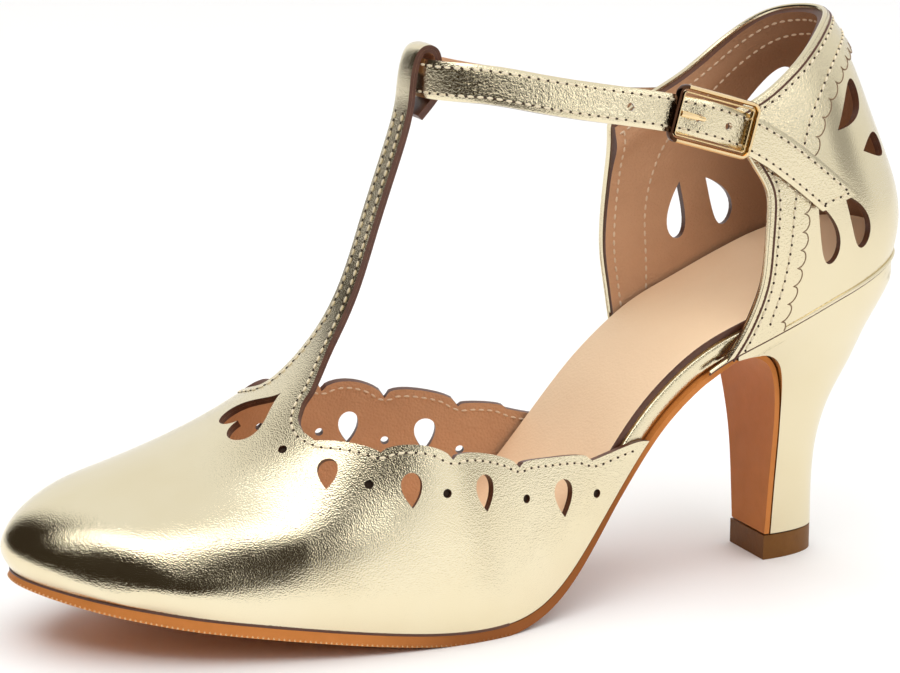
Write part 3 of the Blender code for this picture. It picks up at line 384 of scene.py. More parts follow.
def foot(along, angle):
    """Outer face of the forefoot; the angle runs from -90 outer feather to 90 inner feather."""
    shape = arch_shape(along)
    foot_x, ridge_x, ridge_z, ridge_y, taper, power, bulge, bulge_high = np.moveaxis(shape, -1, 0)
    turn = np.radians(np.clip(angle, -90, 90))
    across, upright = np.abs(np.sin(turn)), np.abs(np.cos(turn))
    reach = (across ** power + upright ** power) ** (-1 / power)
    out, up, side = reach * across, reach * upright, np.sign(turn)
    low, high = feather(foot_x)
    middle, half = (low + high) / 2, (high - low) / 2
    foot_z = bed(foot_x, np.where(side < 0, low, high) * out)
    height = up * np.hypot(ridge_x - foot_x, ridge_z - foot_z)
    swell = bulge * (1 - (1 - np.minimum(height / bulge_high, 1)) ** 2)
    y = middle + (ridge_y - middle) * up + side * (half * (1 - taper * up) + swell) * out
    return np.stack([foot_x + (ridge_x - foot_x) * up, y, foot_z + (ridge_z - foot_z) * up], -1)


def seat_line():
    """The feather line from the outer waist round the back to the inner waist."""
    turn = np.linspace(0, math.pi / 2, SEAT_BACK_STEPS)
    x = np.concatenate([
        np.linspace(QUARTER_FRONT, SEAT_START, SEAT_SIDE_STEPS)[:-1],
        SEAT_START + (SEAT_END - SEAT_START) * np.sin(turn) ** (2 / SEAT_ROUND),
    ])
    low, high = feather(x)
    line = np.concatenate([np.stack([x, low], -1), np.stack([x, high], -1)[::-1][1:]])
    run = chords(line)
    return run - run[-1] / 2, line


SEAT_RUN, SEAT_POINTS = seat_line()


def quarter(along, share):
    """Outer face of the heel quarter, from the feather line at 0 to the collar at 1."""
    x = np.interp(along, SEAT_RUN, SEAT_POINTS[:, 0])
    y = np.interp(along, SEAT_RUN, SEAT_POINTS[:, 1])
    back = np.clip((x - QUARTER_FRONT) / (SEAT_END - QUARTER_FRONT), 0, 1)
    lean, wide = np.moveaxis(level_shape(share), -1, 0)
    pinch = 1 - BACK_PINCH * np.clip(share, 0, 1) * back ** 3
    foot_z = bed(x, y)
    rise = (collar_height(x)[..., 0] - foot_z) * share
    return np.stack([x + lean * back ** BACK_LEAN_POWER, y * wide * pinch, foot_z + rise], -1)


def facing(surface, a, b, step_a, step_b):
    """Unit normals of a surface, both directions sampled a step to either side."""
    run_a = surface(a + step_a, b) - surface(a - step_a, b)
    run_b = surface(a, b + step_b) - surface(a, b - step_b)
    return unit(np.cross(run_a, run_b))


def foot_facing(along, angle):
    """Outward normals of the forefoot, taken just inside its edges."""
    along = np.clip(along, TOE_CLEAR, ARCH_AT[-1] - LOOP_CLEAR)
    return facing(foot, along, np.clip(angle, -STEEPEST, STEEPEST), ALONG_STEP, ANGLE_STEP)


def quarter_facing(along, share):
    """Outward normals of the quarter."""
    along = np.clip(along, SEAT_RUN[0] + END_CLEAR, SEAT_RUN[-1] - END_CLEAR)
    return facing(quarter, along, np.clip(share, RIM_CLEAR, 1 - RIM_CLEAR), FLARE_STEP, SHARE_STEP)


class Face:
    """A leather surface with its flat pattern: millimetres or degrees to points and normals."""

    def __init__(self, points, normals, scale):
        self.points = points
        self.normals = normals
        self.scale = scale

    def at(self, flat, offset=0.0):
        """Points over places of the flat pattern, lifted off the surface."""
        a, b = flat[:, 0], flat[:, 1] / self.scale
        return self.points(a, b) + self.normals(a, b) * np.reshape(offset, (-1, 1))

    def moved(self, flat, offsets):
        """Places of the flat pattern after a move in space along the surface."""
        step = 0.25
        run_a = (self.at(flat + (step, 0)) - self.at(flat - (step, 0))) / (2 * step)
        run_b = (self.at(flat + (0, step)) - self.at(flat - (0, step))) / (2 * step)
        back = np.linalg.pinv(np.stack([run_a, run_b], -1))
        return flat + np.einsum("kij,kj->ki", back, offsets)

    def beside(self, flat, distance):
        """A line of the flat pattern moved sideways, to its left as seen from outside."""
        points = self.at(flat)
        way = unit(np.gradient(points, axis=0))
        left = np.cross(self.facing(flat), way)
        return self.moved(flat, left * distance)

    def facing(self, flat):
        """Normals over places of the flat pattern."""
        return self.normals(flat[:, 0], flat[:, 1] / self.scale)


FOOT = Face(foot, foot_facing, 1.0)
QUARTER = Face(quarter, quarter_facing, QUARTER_SCALE)


def evenly(line, pitch):
    """The same line with its points a pitch apart."""
    line = np.asarray(line, float)
    run = chords(line)
    at = np.linspace(0, run[-1], max(2, round(run[-1] / pitch) + 1))
    return np.stack([np.interp(at, run, column) for column in line.T], -1)


def teardrop(wide, long, steps=32):
    """Teardrop about its middle, round end at -x and point at +x."""
    turn = np.linspace(0, 2 * math.pi, steps, endpoint=False)
    return np.stack([long / 2 * np.cos(turn), DROP_FULLNESS * wide * np.sin(turn) * np.sin(turn / 2)], -1)


def heart(wide, long, steps=56):
    """Heart about its middle, point at +x and lobes at -x."""
    turn = np.linspace(0, 2 * math.pi, steps, endpoint=False)
    across = np.sin(turn) ** 3
    down = -sum(wave * np.cos((k + 1) * turn) for k, wave in enumerate(HEART_WAVES)) / HEART_HIGH
    return np.stack([long * (down - (down.max() + down.min()) / 2), wide / 2 * across], -1)


def disc(wide, steps=14):
    """Round hole about its middle."""
    turn = np.linspace(0, 2 * math.pi, steps, endpoint=False)
    return np.stack([np.cos(turn), np.sin(turn)], -1) * wide / 2


def on_foot(shape, along, angle, heading):
    """Place a small outline in the forefoot's flat pattern, its +x lying along the heading."""
    here = np.array([(along, angle)])
    normal = FOOT.facing(here)[0]
    axis = np.array(heading, float)
    axis = unit(axis - normal * axis.dot(normal))
    side = np.cross(normal, axis)
    offsets = shape[:, :1] * axis + shape[:, 1:] * side
    return FOOT.moved(np.repeat(here, len(shape), 0), offsets)


def scallops(cusps, rises, steps=14):
    """Line through the cusps with a bump to its left from each to the next."""
    line = []
    for first, second, rise in zip(cusps, cusps[1:], rises):
        chord = second - first
        left = np.array([-chord[1], chord[0]]) / np.linalg.norm(chord)
        for t in np.arange(steps) / steps:
            line.append(first + chord * t + left * rise * math.sqrt(4 * t * (1 - t)))
    return line + [cusps[-1]]


def topline(side, cusps):
    """Scalloped topline of one side, from the instep strap to the feather."""
    rows = np.array(cusps, float)
    line = scallops(rows[:, :2] * (1, -1), rows[:, 2])
    return [(at, -angle * side) for at, angle in line]


def strap_side(side):
    """One edge of the instep strap, from its root to its folded end."""
    rows = np.array(OUTER_STRAP if side < 0 else INNER_STRAP, float)
    run = chords(rows)
    return spline(run, rows)(np.linspace(0, run[-1], INSTEP_STEPS))


def throat(side, cusps):
    """Open top on one side of the instep strap, scalloped along the topline."""
    edge = [tuple(row) for row in strap_side(side)[::-1]]
    return edge + topline(side, cusps) + [(ARCH_AT[-1] + OVERRUN, BEYOND_FEATHER * side)]


def petal(row):
    """Petal cut-out in the quarter's flat pattern, bowed like a comma."""
    *ends, wide, bow = row
    point = np.array((ends[0], ends[1] * QUARTER_SCALE))
    end = np.array((ends[2], ends[3] * QUARTER_SCALE))
    axis = point - end
    long = np.linalg.norm(axis)
    axis /= long
    shape = teardrop(wide, long)
    shape[:, 1] += bow * (1 - (2 * shape[:, 0] / long) ** 2)
    side = np.array((-axis[1], axis[0]))
    return (point + end) / 2 + shape[:, :1] * axis + shape[:, 1:] * side


def wing_edge(column):
    """Front edge of one wing, from the feather line to the collar."""
    rows = np.array([(row[column], row[0] * QUARTER_SCALE) for row in WING_FRONTS], float)
    return spline(rows[:, 1], rows)(np.linspace(rows[0, 1], rows[-1, 1], WING_STEPS))


def wing_front(column):
    """Part of the flat pattern in front of one wing."""
    side = -1 if column == 1 else 1
    line = [tuple(row) for row in wing_edge(column)]
    far = side * (SEAT_RUN[-1] + OVERRUN)
    return line + [(far, line[-1][1]), (far, line[0][1])]


def band_curve():
    """Smooth line under the cusps of the scalloped band, with its length."""
    nodes = np.array([(at, share * QUARTER_SCALE) for at, share in BAND_EDGE])
    run = chords(nodes)
    return spline(run, nodes), run[-1]


def band_back():
    """Part of the flat pattern behind and below the scalloped band."""
    curve, long = band_curve()
    count = round(long / BAND_PITCH)
    return scallops(curve(np.linspace(0, long, count + 1)), [-BAND_RISE] * count)


class Finish:
    """A material or a sky whose nodes are added one call at a time."""

    def __init__(self, owner, shader="Principled BSDF"):
        self.owner = owner
        owner.use_nodes = True
        self.tree = owner.node_tree
        self.shader = self.tree.nodes[shader]

    @classmethod
    def named(cls, name):
        """A fresh material."""
        return cls(bpy.data.materials.new(name))

    def add(self, kind, settings=None, sockets=None, output=0):
        """Add a node: its settings first, then the values or links of its sockets."""
        node = self.tree.nodes.new(kind)
        for name, value in (settings or {}).items():
            setattr(node, name, value)
        for name, value in (sockets or {}).items():
            self.plug(node.inputs[name], value)
        return Tap(self, node.outputs[output])

    def plug(self, socket, value):
        """Give a socket a link, a colour or a number."""
        if isinstance(value, Tap):
            self.tree.links.new(value.socket, socket)
        elif isinstance(value, tuple) and len(value) == 3 and socket.type == "RGBA":
            socket.default_value = (*value, 1)
        else:
            socket.default_value = value

    def place(self):
        """Object coordinates in metres."""
        return self.add("ShaderNodeTexCoord", output="Object")

    def along(self, span):
        """0 to 1 from one place to another along the shoe."""
        return self.span(self.add("ShaderNodeSeparateXYZ", sockets={0: self.place()}), *span)

    def noise(self, scale, detail=2.0, rough=0.5):
        """Soft noise from 0 to 1."""
        sockets = {"Vector": self.place(), "Scale": scale, "Detail": detail, "Roughness": rough}
        return self.add("ShaderNodeTexNoise", sockets=sockets)

    def pebbles(self, scale):
        """Rounded cells, 0 in their middles."""
        sockets = {"Vector": self.place(), "Scale": scale, "Smoothness": 0.5}
        return self.add("ShaderNodeTexVoronoi", {"feature": "SMOOTH_F1"}, sockets)

    def blend(self, share, first, second):
        """Mix two colours."""
        sockets = {0: share, 6: first, 7: second}
        return self.add("ShaderNodeMix", {"data_type": "RGBA"}, sockets, output=2)

    def span(self, value, low, high):
        """Map a span of values to 0 to 1, softly."""
        sockets = {"Value": value, "From Min": low, "From Max": high}
        return self.add("ShaderNodeMapRange", {"interpolation_type": "SMOOTHSTEP"}, sockets)

    def bump(self, height, deep, **under):
        """Normals of a height, its unit given as a depth in metres, over those of another bump."""
        sockets = {"Height": height, "Distance": deep, "Strength": 1.0, **under}
        return self.add("ShaderNodeBump", sockets=sockets, output="Normal")

    def done(self, **sockets):
        """Set the shader's own sockets and return their owner."""
        for name, value in sockets.items():
            self.plug(self.shader.inputs[name.replace("_", " ")], value)
        return self.owner


class Tap:
    """An output socket that takes part in sums."""

    def __init__(self, finish, socket):
        self.finish = finish
        self.socket = socket

    def reckon(self, operation, first, second):
        return self.finish.add("ShaderNodeMath", {"operation": operation}, {0: first, 1: second})

    def __add__(self, other):
        return self.reckon("ADD", self, other)

    def __radd__(self, other):
        return self.reckon("ADD", other, self)

    def __sub__(self, other):
        return self.reckon("SUBTRACT", self, other)

    def __rsub__(self, other):
        return self.reckon("SUBTRACT", other, self)

    def __mul__(self, other):
        return self.reckon("MULTIPLY", self, other)

    def __rmul__(self, other):
        return self.reckon("MULTIPLY", other, self)

    def most(self, other):
        return self.reckon("MAXIMUM", self, other)


def gold_leather(name, pebble_deep, crinkle_deep, gloss, toe=1.0):
    """Pale metallic leather with pebbles, crinkle and uneven gloss; smoother at the toe, with painted shade
    darkening it towards the heel.
    """
    finish = Finish.named(name)
    patches = finish.span(finish.noise(38.0), 0.35, 0.65)
    worn = toe + (1.0 - toe) * finish.along(SMOOTH_TOE)
    pebble = finish.pebbles(2900.0) + 0.4 * finish.noise(4200.0)
    normal = finish.bump(pebble * ((0.5 + 0.5 * patches) * worn), pebble_deep)
    crumple = finish.bump(finish.noise(1500.0, 3.0, 0.6), crinkle_deep, Normal=normal)
    tone = finish.blend(finish.noise(55.0, 3.0), (0.80, 0.70, 0.47), (0.86, 0.78, 0.57))
    # painted shade: the gold darkens towards the heel, standing in for the darker surroundings mirrored
    # there
    tone = finish.blend(0.18 * finish.along(GOLD_PAINTED_SHADE), tone, (0.40, 0.33, 0.20))
    dull = (gloss + 0.06 * patches + 0.05 * finish.noise(900.0)) * worn
    return finish.done(Base_Color=tone, Metallic=1.0, Roughness=dull, Normal=crumple)


def lining_leather(name, first, second, deep, shade=0.0):
    """Matt lining leather with pores and drifting colour, with painted shade darkening it towards the heel,
    inside the heel cup.
    """
    finish = Finish.named(name)
    tone = finish.blend(finish.noise(90.0, 4.0, 0.6), first, second)
    # painted shade: darker towards the back, where the inside of the heel cup lies in shadow
    tone = finish.blend(shade * finish.along(LINING_PAINTED_SHADE), tone, (0.17, 0.070, 0.026))
    grain = finish.pebbles(1500.0) + 0.6 * finish.noise(700.0, 4.0)
    rough = 0.52 + 0.15 * finish.noise(300.0)
    return finish.done(Base_Color=tone, Roughness=rough, Normal=finish.bump(grain, deep),
                       Specular_IOR_Level=0.35)


def edge_paint():
    """Dark brown paint on cut edges."""
    finish = Finish.named("edge_paint")
    tone = finish.blend(finish.noise(500.0, 3.0), (0.045, 0.014, 0.006), (0.13, 0.042, 0.017))
    return finish.done(Base_Color=tone, Roughness=0.42, Normal=finish.bump(finish.noise(1800.0), 0.00006))


def sole_leather(name, first, second):
    """Smooth caramel sole with faint fibres, darker along the waist."""
    finish = Finish.named(name)
    tone = finish.blend(finish.noise(240.0, 4.0, 0.6), first, second)
    waist = finish.along(WAIST_DARKENS) * (1.0 - finish.along(WAIST_PALES))
    tone = finish.blend(0.8 * waist, tone, (0.20, 0.058, 0.012))
    rough = 0.42 + 0.12 * finish.noise(180.0)
    grain = finish.bump(finish.noise(1200.0), 0.00005)
    return finish.done(Base_Color=tone, Roughness=rough, Normal=grain, Specular_IOR_Level=0.15)


def heel_rubber():
    """Brown top piece with rubbed faces."""
    finish = Finish.named("heel_rubber")
    tone = finish.blend(finish.noise(300.0, 4.0), (0.135, 0.050, 0.008), (0.21, 0.085, 0.015))
    return finish.done(Base_Color=tone, Roughness=0.45, Normal=finish.bump(finish.noise(900.0), 0.00008),
                       Specular_IOR_Level=0.2)


def buckle_plate(name, first, second):
    """Polished plate on the buckle."""
    finish = Finish.named(name)
    tone = finish.blend(finish.noise(120.0), first, second)
    rough = 0.09 + 0.07 * finish.noise(400.0, 3.0)
    return finish.done(Base_Color=tone, Metallic=1.0, Roughness=rough)


def thread(name, first, second):
    """Twisted sewing thread."""
    finish = Finish.named(name)
    tone = finish.blend(finish.noise(1500.0), first, second)
    return finish.done(Base_Color=tone, Roughness=0.6, Normal=finish.bump(finish.noise(4000.0), 0.0001))


def needle_hole_shade():
    """Painted shade for needle holes: dark ovals standing in for the shade inside them."""
    finish = Finish.named("needle_hole_shade")
    tone = finish.blend(finish.noise(900.0), (0.020, 0.010, 0.005), (0.060, 0.030, 0.014))
    return finish.done(Base_Color=tone, Roughness=0.8)


GOLD = gold_leather("gold_leather", pebble_deep=0.00006, crinkle_deep=0.00003, gloss=0.14, toe=0.65)
GOLD_SMOOTH = gold_leather("gold_leather_smooth", pebble_deep=0.00003, crinkle_deep=0.00002, gloss=0.15)
GOLD_CRINKLED = gold_leather("gold_leather_crinkled", pebble_deep=0.00006, crinkle_deep=0.00013, gloss=0.12)
LINING = lining_leather("brown_lining", (0.55, 0.300, 0.165), (0.66, 0.380, 0.220), 0.00012, shade=0.75)
SOCK = lining_leather("beige_sock", (0.91, 0.655, 0.420), (0.96, 0.710, 0.465), 0.00005)
EDGE = edge_paint()
SOLE = sole_leather("sole_leather", (0.52, 0.178, 0.036), (0.64, 0.230, 0.058))
SOLE_EDGE = sole_leather("sole_edge", (0.72, 0.40, 0.17), (0.80, 0.50, 0.25))
RUBBER = heel_rubber()
PLATE = buckle_plate("buckle_plate", (0.88, 0.64, 0.33), (0.94, 0.74, 0.44))
# painted reflection: a dark polished plate standing in for the dark surroundings mirrored in the buckle's
# end bar
PLATE_PAINTED_REFLECTION = buckle_plate("buckle_painted_reflection", (0.060, 0.028, 0.016), (0.11, 0.050, 0.026))
THREAD = thread("pale_thread", (0.72, 0.60, 0.40), (0.86, 0.76, 0.56))
LINING_THREAD = thread("lining_thread", (0.66, 0.48, 0.32), (0.80, 0.62, 0.44))
# painted shade: a dark thread-like line for the shadow under the band's scalloped edge
SCALLOP_SHADE = thread("scallop_painted_shade", (0.16, 0.095, 0.045), (0.26, 0.165, 0.085))
# painted shade for needle holes and the outer pinholes
HOLE_SHADE = needle_hole_shade()


def settle(name, bm, materials, nodes=(), sharp=35.0):
    """Turn millimetres into metres and let the finished piece ride on the shoe."""
    bmesh.ops.scale(bm, vec=(MM, MM, MM), verts=bm.verts)
    mesh = bpy.data.meshes.new(name)
    bm.to_mesh(mesh)
    bm.free()
    mesh.shade_smooth()
    mesh.set_sharp_from_angle(angle=math.radians(sharp))
    for material in materials:
        mesh.materials.append(material)
    piece = bpy.data.objects.new(name, mesh)
    bpy.context.scene.collection.objects.link(piece)
    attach(piece, "root")
    if nodes:
        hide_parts(*nodes)
    return piece


def ring_loft(rings, closed=False):
    """Bridge rings of points into one skin; an open run is capped at both ends."""
    bm = bmesh.new()
    loops = []
    for ring in rings:
        verts = [bm.verts.new(point) for point in ring]
        loops.append([bm.edges.new((verts[k - 1], verts[k])) for k in range(len(verts))])
    pairs = list(zip(loops, loops[1:]))
    if closed:
        pairs.append((loops[-1], loops[0]))
    for first, second in pairs:
        bmesh.ops.bridge_loops(bm, edges=first + second)
    if not closed:
        bmesh.ops.contextual_create(bm, geom=loops[0])
        bmesh.ops.contextual_create(bm, geom=loops[-1])
    bmesh.ops.recalc_face_normals(bm, faces=bm.faces)
    return bm


def prisms(outlines):
    """Upright cutters standing through the flat pattern, one per outline."""
    bm = bmesh.new()
    for outline in outlines:
        verts = [bm.verts.new((a, b, CUTTER_LOW)) for a, b in outline]
        edges = [bm.edges.new((verts[k - 1], verts[k])) for k in range(len(verts))]
        face = bmesh.ops.contextual_create(bm, geom=edges)["faces"]
        wall = bmesh.ops.extrude_face_region(bm, geom=face)["geom"]
        moved = [item for item in wall if isinstance(item, bmesh.types.BMVert)]
        bmesh.ops.translate(bm, vec=(0, 0, CUTTER_HIGH - CUTTER_LOW), verts=moved)
    bmesh.ops.recalc_face_normals(bm, faces=bm.faces)
    return bm


def scratch_object(name, bm):
    """Put a passing piece in the scene for one cut."""
    mesh = bpy.data.meshes.new(name)
    bm.to_mesh(mesh)
    bm.free()
    piece = bpy.data.objects.new(name, mesh)
    bpy.context.scene.collection.objects.link(piece)
    return piece


def cut(body, tool):
    """Cut one skin from another and return what is left."""
    body = scratch_object("body", body)
    tool = scratch_object("tool", tool)
    knife = body.modifiers.new("cut", "BOOLEAN")
    knife.operation = "DIFFERENCE"
    knife.solver = "EXACT"
    knife.object = tool
    done = body.evaluated_get(bpy.context.evaluated_depsgraph_get())
    bm = bmesh.new()
    bm.from_mesh(done.data)
    for piece in (body, tool):
        bpy.data.objects.remove(piece)
    return bm


def flat_sheet(columns, rows, outlines):
    """Flat pattern one unit thick with its outlines cut away."""
    bm = bmesh.new()
    bmesh.ops.create_grid(bm, x_segments=len(columns) - 1, y_segments=len(rows) - 1, size=0.5)
    for vert in bm.verts:
        vert.co.x = np.interp(vert.co.x + 0.5, np.linspace(0, 1, len(columns)), columns)
        vert.co.y = np.interp(vert.co.y + 0.5, np.linspace(0, 1, len(rows)), rows)
    top = bmesh.ops.extrude_face_region(bm, geom=bm.faces[:])["geom"]
    raised = [item for item in top if isinstance(item, bmesh.types.BMVert)]
    bmesh.ops.translate(bm, vec=(0, 0, 1.0), verts=raised)
    bmesh.ops.recalc_face_normals(bm, faces=bm.faces)
    if outlines:
        bm = cut(bm, prisms(outlines))
        bmesh.ops.dissolve_degenerate(bm, dist=MERGE_GAP, edges=bm.edges)
    many_sided = [face for face in bm.faces if len(face.verts) > 4]
    bmesh.ops.triangulate(bm, faces=many_sided)
    return bm


def lasted(bm, face, outside, inside, rim=1):
    """Bend a flat sheet on to a face, its two sides at offsets from it; cut edges take a material."""
    for side in bm.faces:
        flat = abs(side.normal.z) > 0.5
        side.material_index = 0 if flat else rim
    flat = np.array([vert.co for vert in bm.verts])
    places = flat[:, :2]
    near = outside(places) if callable(outside) else np.full(len(flat), float(outside))
    far = inside(places) if callable(inside) else np.full(len(flat), float(inside))
    shaped = face.at(places, near + (far - near) * flat[:, 2])
    for vert, point in zip(bm.verts, shaped):
        vert.co = point
    bmesh.ops.recalc_face_normals(bm, faces=bm.faces)
    if bm.calc_volume(signed=True) < 0:
        bmesh.ops.reverse_faces(bm, faces=bm.faces)
    return bm


def tube(points, radius, sides=BEAD_SIDES):
    """Round bead along a line of points."""
    points = np.asarray(points, float)
    way = unit(np.gradient(points, axis=0))
    rings = []
    side = np.cross(way[0], BEAD_START)
    for here, ahead in zip(points, way):
        side = unit(side - ahead * side.dot(ahead))
        other = np.cross(ahead, side)
        turns = np.linspace(0, 2 * math.pi, sides, endpoint=False)
        rings.append([here + radius * (side * math.cos(t) + other * math.sin(t)) for t in turns])
    return ring_loft(rings)


class Sewing:
    """Rows of stitches gathered into one thread piece and one piece of needle holes."""

    def __init__(self):
        self.threads = bmesh.new()
        self.holes = bmesh.new()

    def row(self, points, normals, lift=SEW_LIFT):
        """Sew along a line: a stitch in each pitch, a needle hole between two."""
        run = chords(points)
        count = max(1, round(run[-1] / STITCH_PITCH))
        pitch = run[-1] / count
        holes = [k * pitch for k in range(count + 1)]
        stitches = [(k + 0.5) * pitch for k in range(count)]
        kinds = (
            (self.holes, holes, NEEDLE_HOLE),
            (self.threads, stitches, STITCH),
        )
        for gathered, places, size in kinds:
            beads = bmesh.new()
            for at in places:
                self.bead(beads, points, normals, run, at, size, lift)
            mesh = bpy.data.meshes.new("row")
            beads.to_mesh(mesh)
            beads.free()
            gathered.from_mesh(mesh)
            bpy.data.meshes.remove(mesh)

    def bead(self, bm, points, normals, run, at, size, lift):
        """One rounded bead lying along the row."""
        def place(columns, run_to):
            return np.array([np.interp(run_to, run, column) for column in columns.T])

        here = place(points, at)
        way = unit(place(points, at + SEW_WAY) - place(points, at - SEW_WAY))
        up = place(normals, at)
        up = unit(up - way * up.dot(way))
        side = np.cross(up, way)
        here = here + up * lift
        frame_rows = [(*(axis * extent / 2), 0) for axis, extent in zip((way, side, up), size)]
        matrix = Matrix([*frame_rows, (*here, 1)]).transposed()
        bmesh.ops.create_uvsphere(bm, u_segments=8, v_segments=5, radius=1.0, matrix=matrix)

    def on(self, face, line, lift=SEW_LIFT):
        """Sew along a line of a face's flat pattern."""
        line = evenly(line, SEW_STEP)
        self.row(face.at(line), face.facing(line), lift)

    def settle(self, name, colour, slot, pricked=True):
        """Lay down the stitches and, where they show, the needle holes."""
        settle(name + "_stitches", self.threads, [colour])
        if pricked:
            # the needle holes are dark beads of painted shade
            settle(name + "_needle_holes", self.holes, [HOLE_SHADE])


def swell(places):
    """Height of the soft swells worn into the vamp."""
    scale = np.array((1.0, ANGLE_REACH))
    height = np.zeros(len(places))
    for first, last in SWELLS:
        start, way = np.array(first[:2]) * scale, np.subtract(last, first)[:2] * scale
        share = np.clip((places * scale - start) @ way / way.dot(way), 0, 1)
        away = np.linalg.norm(places * scale - start - share[:, None] * way, axis=1)
        high = first[2] + (last[2] - first[2]) * share
        height = np.maximum(height, high * np.exp(-(away / SWELL_HALF) ** 2))
    return height


def vamp_sheet(counts, outlines):
    """Flat pattern of the forefoot, closer together where its strap folds over."""
    fore, loop, across = counts
    columns = [np.linspace(0, LOOP_START, fore), np.linspace(LOOP_START, ARCH_AT[-1], loop)[1:]]
    return flat_sheet(np.concatenate(columns), np.linspace(-90, 90, across), outlines)


def build_vamp():
    """Forefoot upper with heart, teardrops and pinholes, its lining, and dark discs of painted shade behind
    the outer pinholes.
    """
    outlines = [throat(-1, OUTER_CUSPS), throat(1, INNER_CUSPS)]
    outlines.append(on_foot(heart(HEART_WIDE, HEART_LONG), HEART_AT, HEART_ANGLE, HEART_WAY))
    for along, angle, wide, long in TEARDROPS:
        outlines.append(on_foot(teardrop(wide, long), along, angle, TEARDROP_WAY))
    for along, angle in PINHOLES:
        outlines.append(on_foot(disc(PINHOLE_WIDE), along, angle, TEARDROP_WAY))
    leather = lasted(vamp_sheet(VAMP_MESH, outlines), FOOT, swell, lambda places: swell(places) - LEATHER)
    settle("vamp_leather", leather, [GOLD, EDGE], ["vamp"])
    lining = lasted(vamp_sheet(VAMP_LINING_MESH, outlines), FOOT,
                    lambda places: swell(places) - LEATHER - SKIN_GAP,
                    lambda places: swell(places) - UPPER_WALL)
    for side in lining.faces:
        middle = side.calc_center_median()
        if middle.x > TAB_FRONT and TAB_LOW < middle.z < TAB_TOP:
            side.material_index = 1
    settle("vamp_lining", lining, [LINING, EDGE])
    # painted shade: dark discs behind the outer pinholes for the shadowed inside of the shoe seen through
    # them
    shade_discs = bmesh.new()
    places = np.array([place for place in PINHOLES if place[1] < 0])
    for here, up in zip(FOOT.at(places, -LEATHER), FOOT.facing(places)):
        turn = Vector(up).to_track_quat("Z", "Y").to_matrix().to_4x4()
        matrix = Matrix.Translation(Vector(here)) @ turn
        radius = PINHOLE_WIDE / 2 + PLUG_OVER
        bmesh.ops.create_circle(shade_discs, cap_ends=True, segments=PLUG_SIDES, radius=radius, matrix=matrix)
    settle("pinhole_painted_shade", shade_discs, [HOLE_SHADE])


def sew_vamp():
    """Stitch rows of the forefoot: along both toplines and both edges of the instep strap."""
    sewing = Sewing()
    inner = Sewing()
    for side, cusps in ((-1, OUTER_CUSPS), (1, INNER_CUSPS)):
        edge = strap_side(side)
        edge = edge[edge[:, 0] < LOOP_START - LOOP_SEW][::-1]
        line = evenly(np.concatenate([edge, topline(side, cusps)[1:]]), FINE_STEP)
        line = line[np.abs(line[:, 1]) < FEATHER_SEW]
        row = FOOT.beside(line, side * TOPLINE_SEW)
        row[2:-2] = sum(row[k:len(row) - 4 + k] for k in range(5)) / 5
        sewing.on(FOOT, row)
        back = evenly(row, SEW_STEP)
        inner.row(FOOT.at(back, -UPPER_WALL), -FOOT.facing(back))
    sewing.settle("vamp", THREAD, "gold_leather")
    inner.settle("vamp_lining", LINING_THREAD, "sock_lining", pricked=False)


def collar_pad(places):
    """Inner face of the quarter, padded under the collar."""
    share = places[:, 1] / QUARTER_SCALE
    return -UPPER_WALL - PAD_THICK * np.exp(-((share - PAD_AT) / PAD_REACH) ** 2)


def build_quarter():
    """Heel quarter with its petals, lining, scalloped band and strip over the back seam."""
    columns = np.linspace(SEAT_RUN[0] + SHEET_SLACK, SEAT_RUN[-1] - SHEET_SLACK, QUARTER_MESH[0])
    rows = np.linspace(0, QUARTER_SCALE, QUARTER_MESH[1])
    fronts = [wing_front(1), wing_front(2)]
    outlines = fronts + [petal(row) for row in PETALS]
    leather = lasted(flat_sheet(columns, rows, outlines), QUARTER, 0.0, -LEATHER)
    settle("quarter_leather", leather, [GOLD_SMOOTH, EDGE], ["quarter"])
    lining = lasted(flat_sheet(columns, rows, outlines), QUARTER, -LEATHER - SKIN_GAP, collar_pad)
    settle("quarter_lining", lining, [LINING, EDGE])
    rows = np.linspace(BAND_FOOT, QUARTER_SCALE, BAND_ROWS)
    sheet = flat_sheet(columns, rows, fronts + [band_back()])
    band = lasted(sheet, QUARTER, BAND_LEVEL, SKIN_GAP)
    settle("collar_band_leather", band, [GOLD_CRINKLED, EDGE], ["collar_band"])
    columns = np.linspace(-BACK_STRIP_HALF, BACK_STRIP_HALF, STRIP_MESH[0])
    rows = np.linspace(BAND_FOOT, BACK_STRIP_TOP * QUARTER_SCALE, STRIP_MESH[1])
    strip = lasted(flat_sheet(columns, rows, []), QUARTER, BAND_LEVEL, SKIN_GAP)
    settle("back_strip_leather", strip, [GOLD_SMOOTH, EDGE], ["back_strip"])


def collar_line():
    """The quarter's whole free edge: up the outer wing, round the collar, down the inner wing."""
    low, high = WING_CLEAR, QUARTER_SCALE - WING_CLEAR
    edges = [wing_edge(1), wing_edge(2)]
    outer, inner = [edge[(edge[:, 1] > low) & (edge[:, 1] < high)] for edge in edges]
    top = [(at, QUARTER_SCALE) for at in np.linspace(outer[-1, 0], inner[-1, 0], COLLAR_STEPS)]
    return outer, np.array(top), inner[::-1]


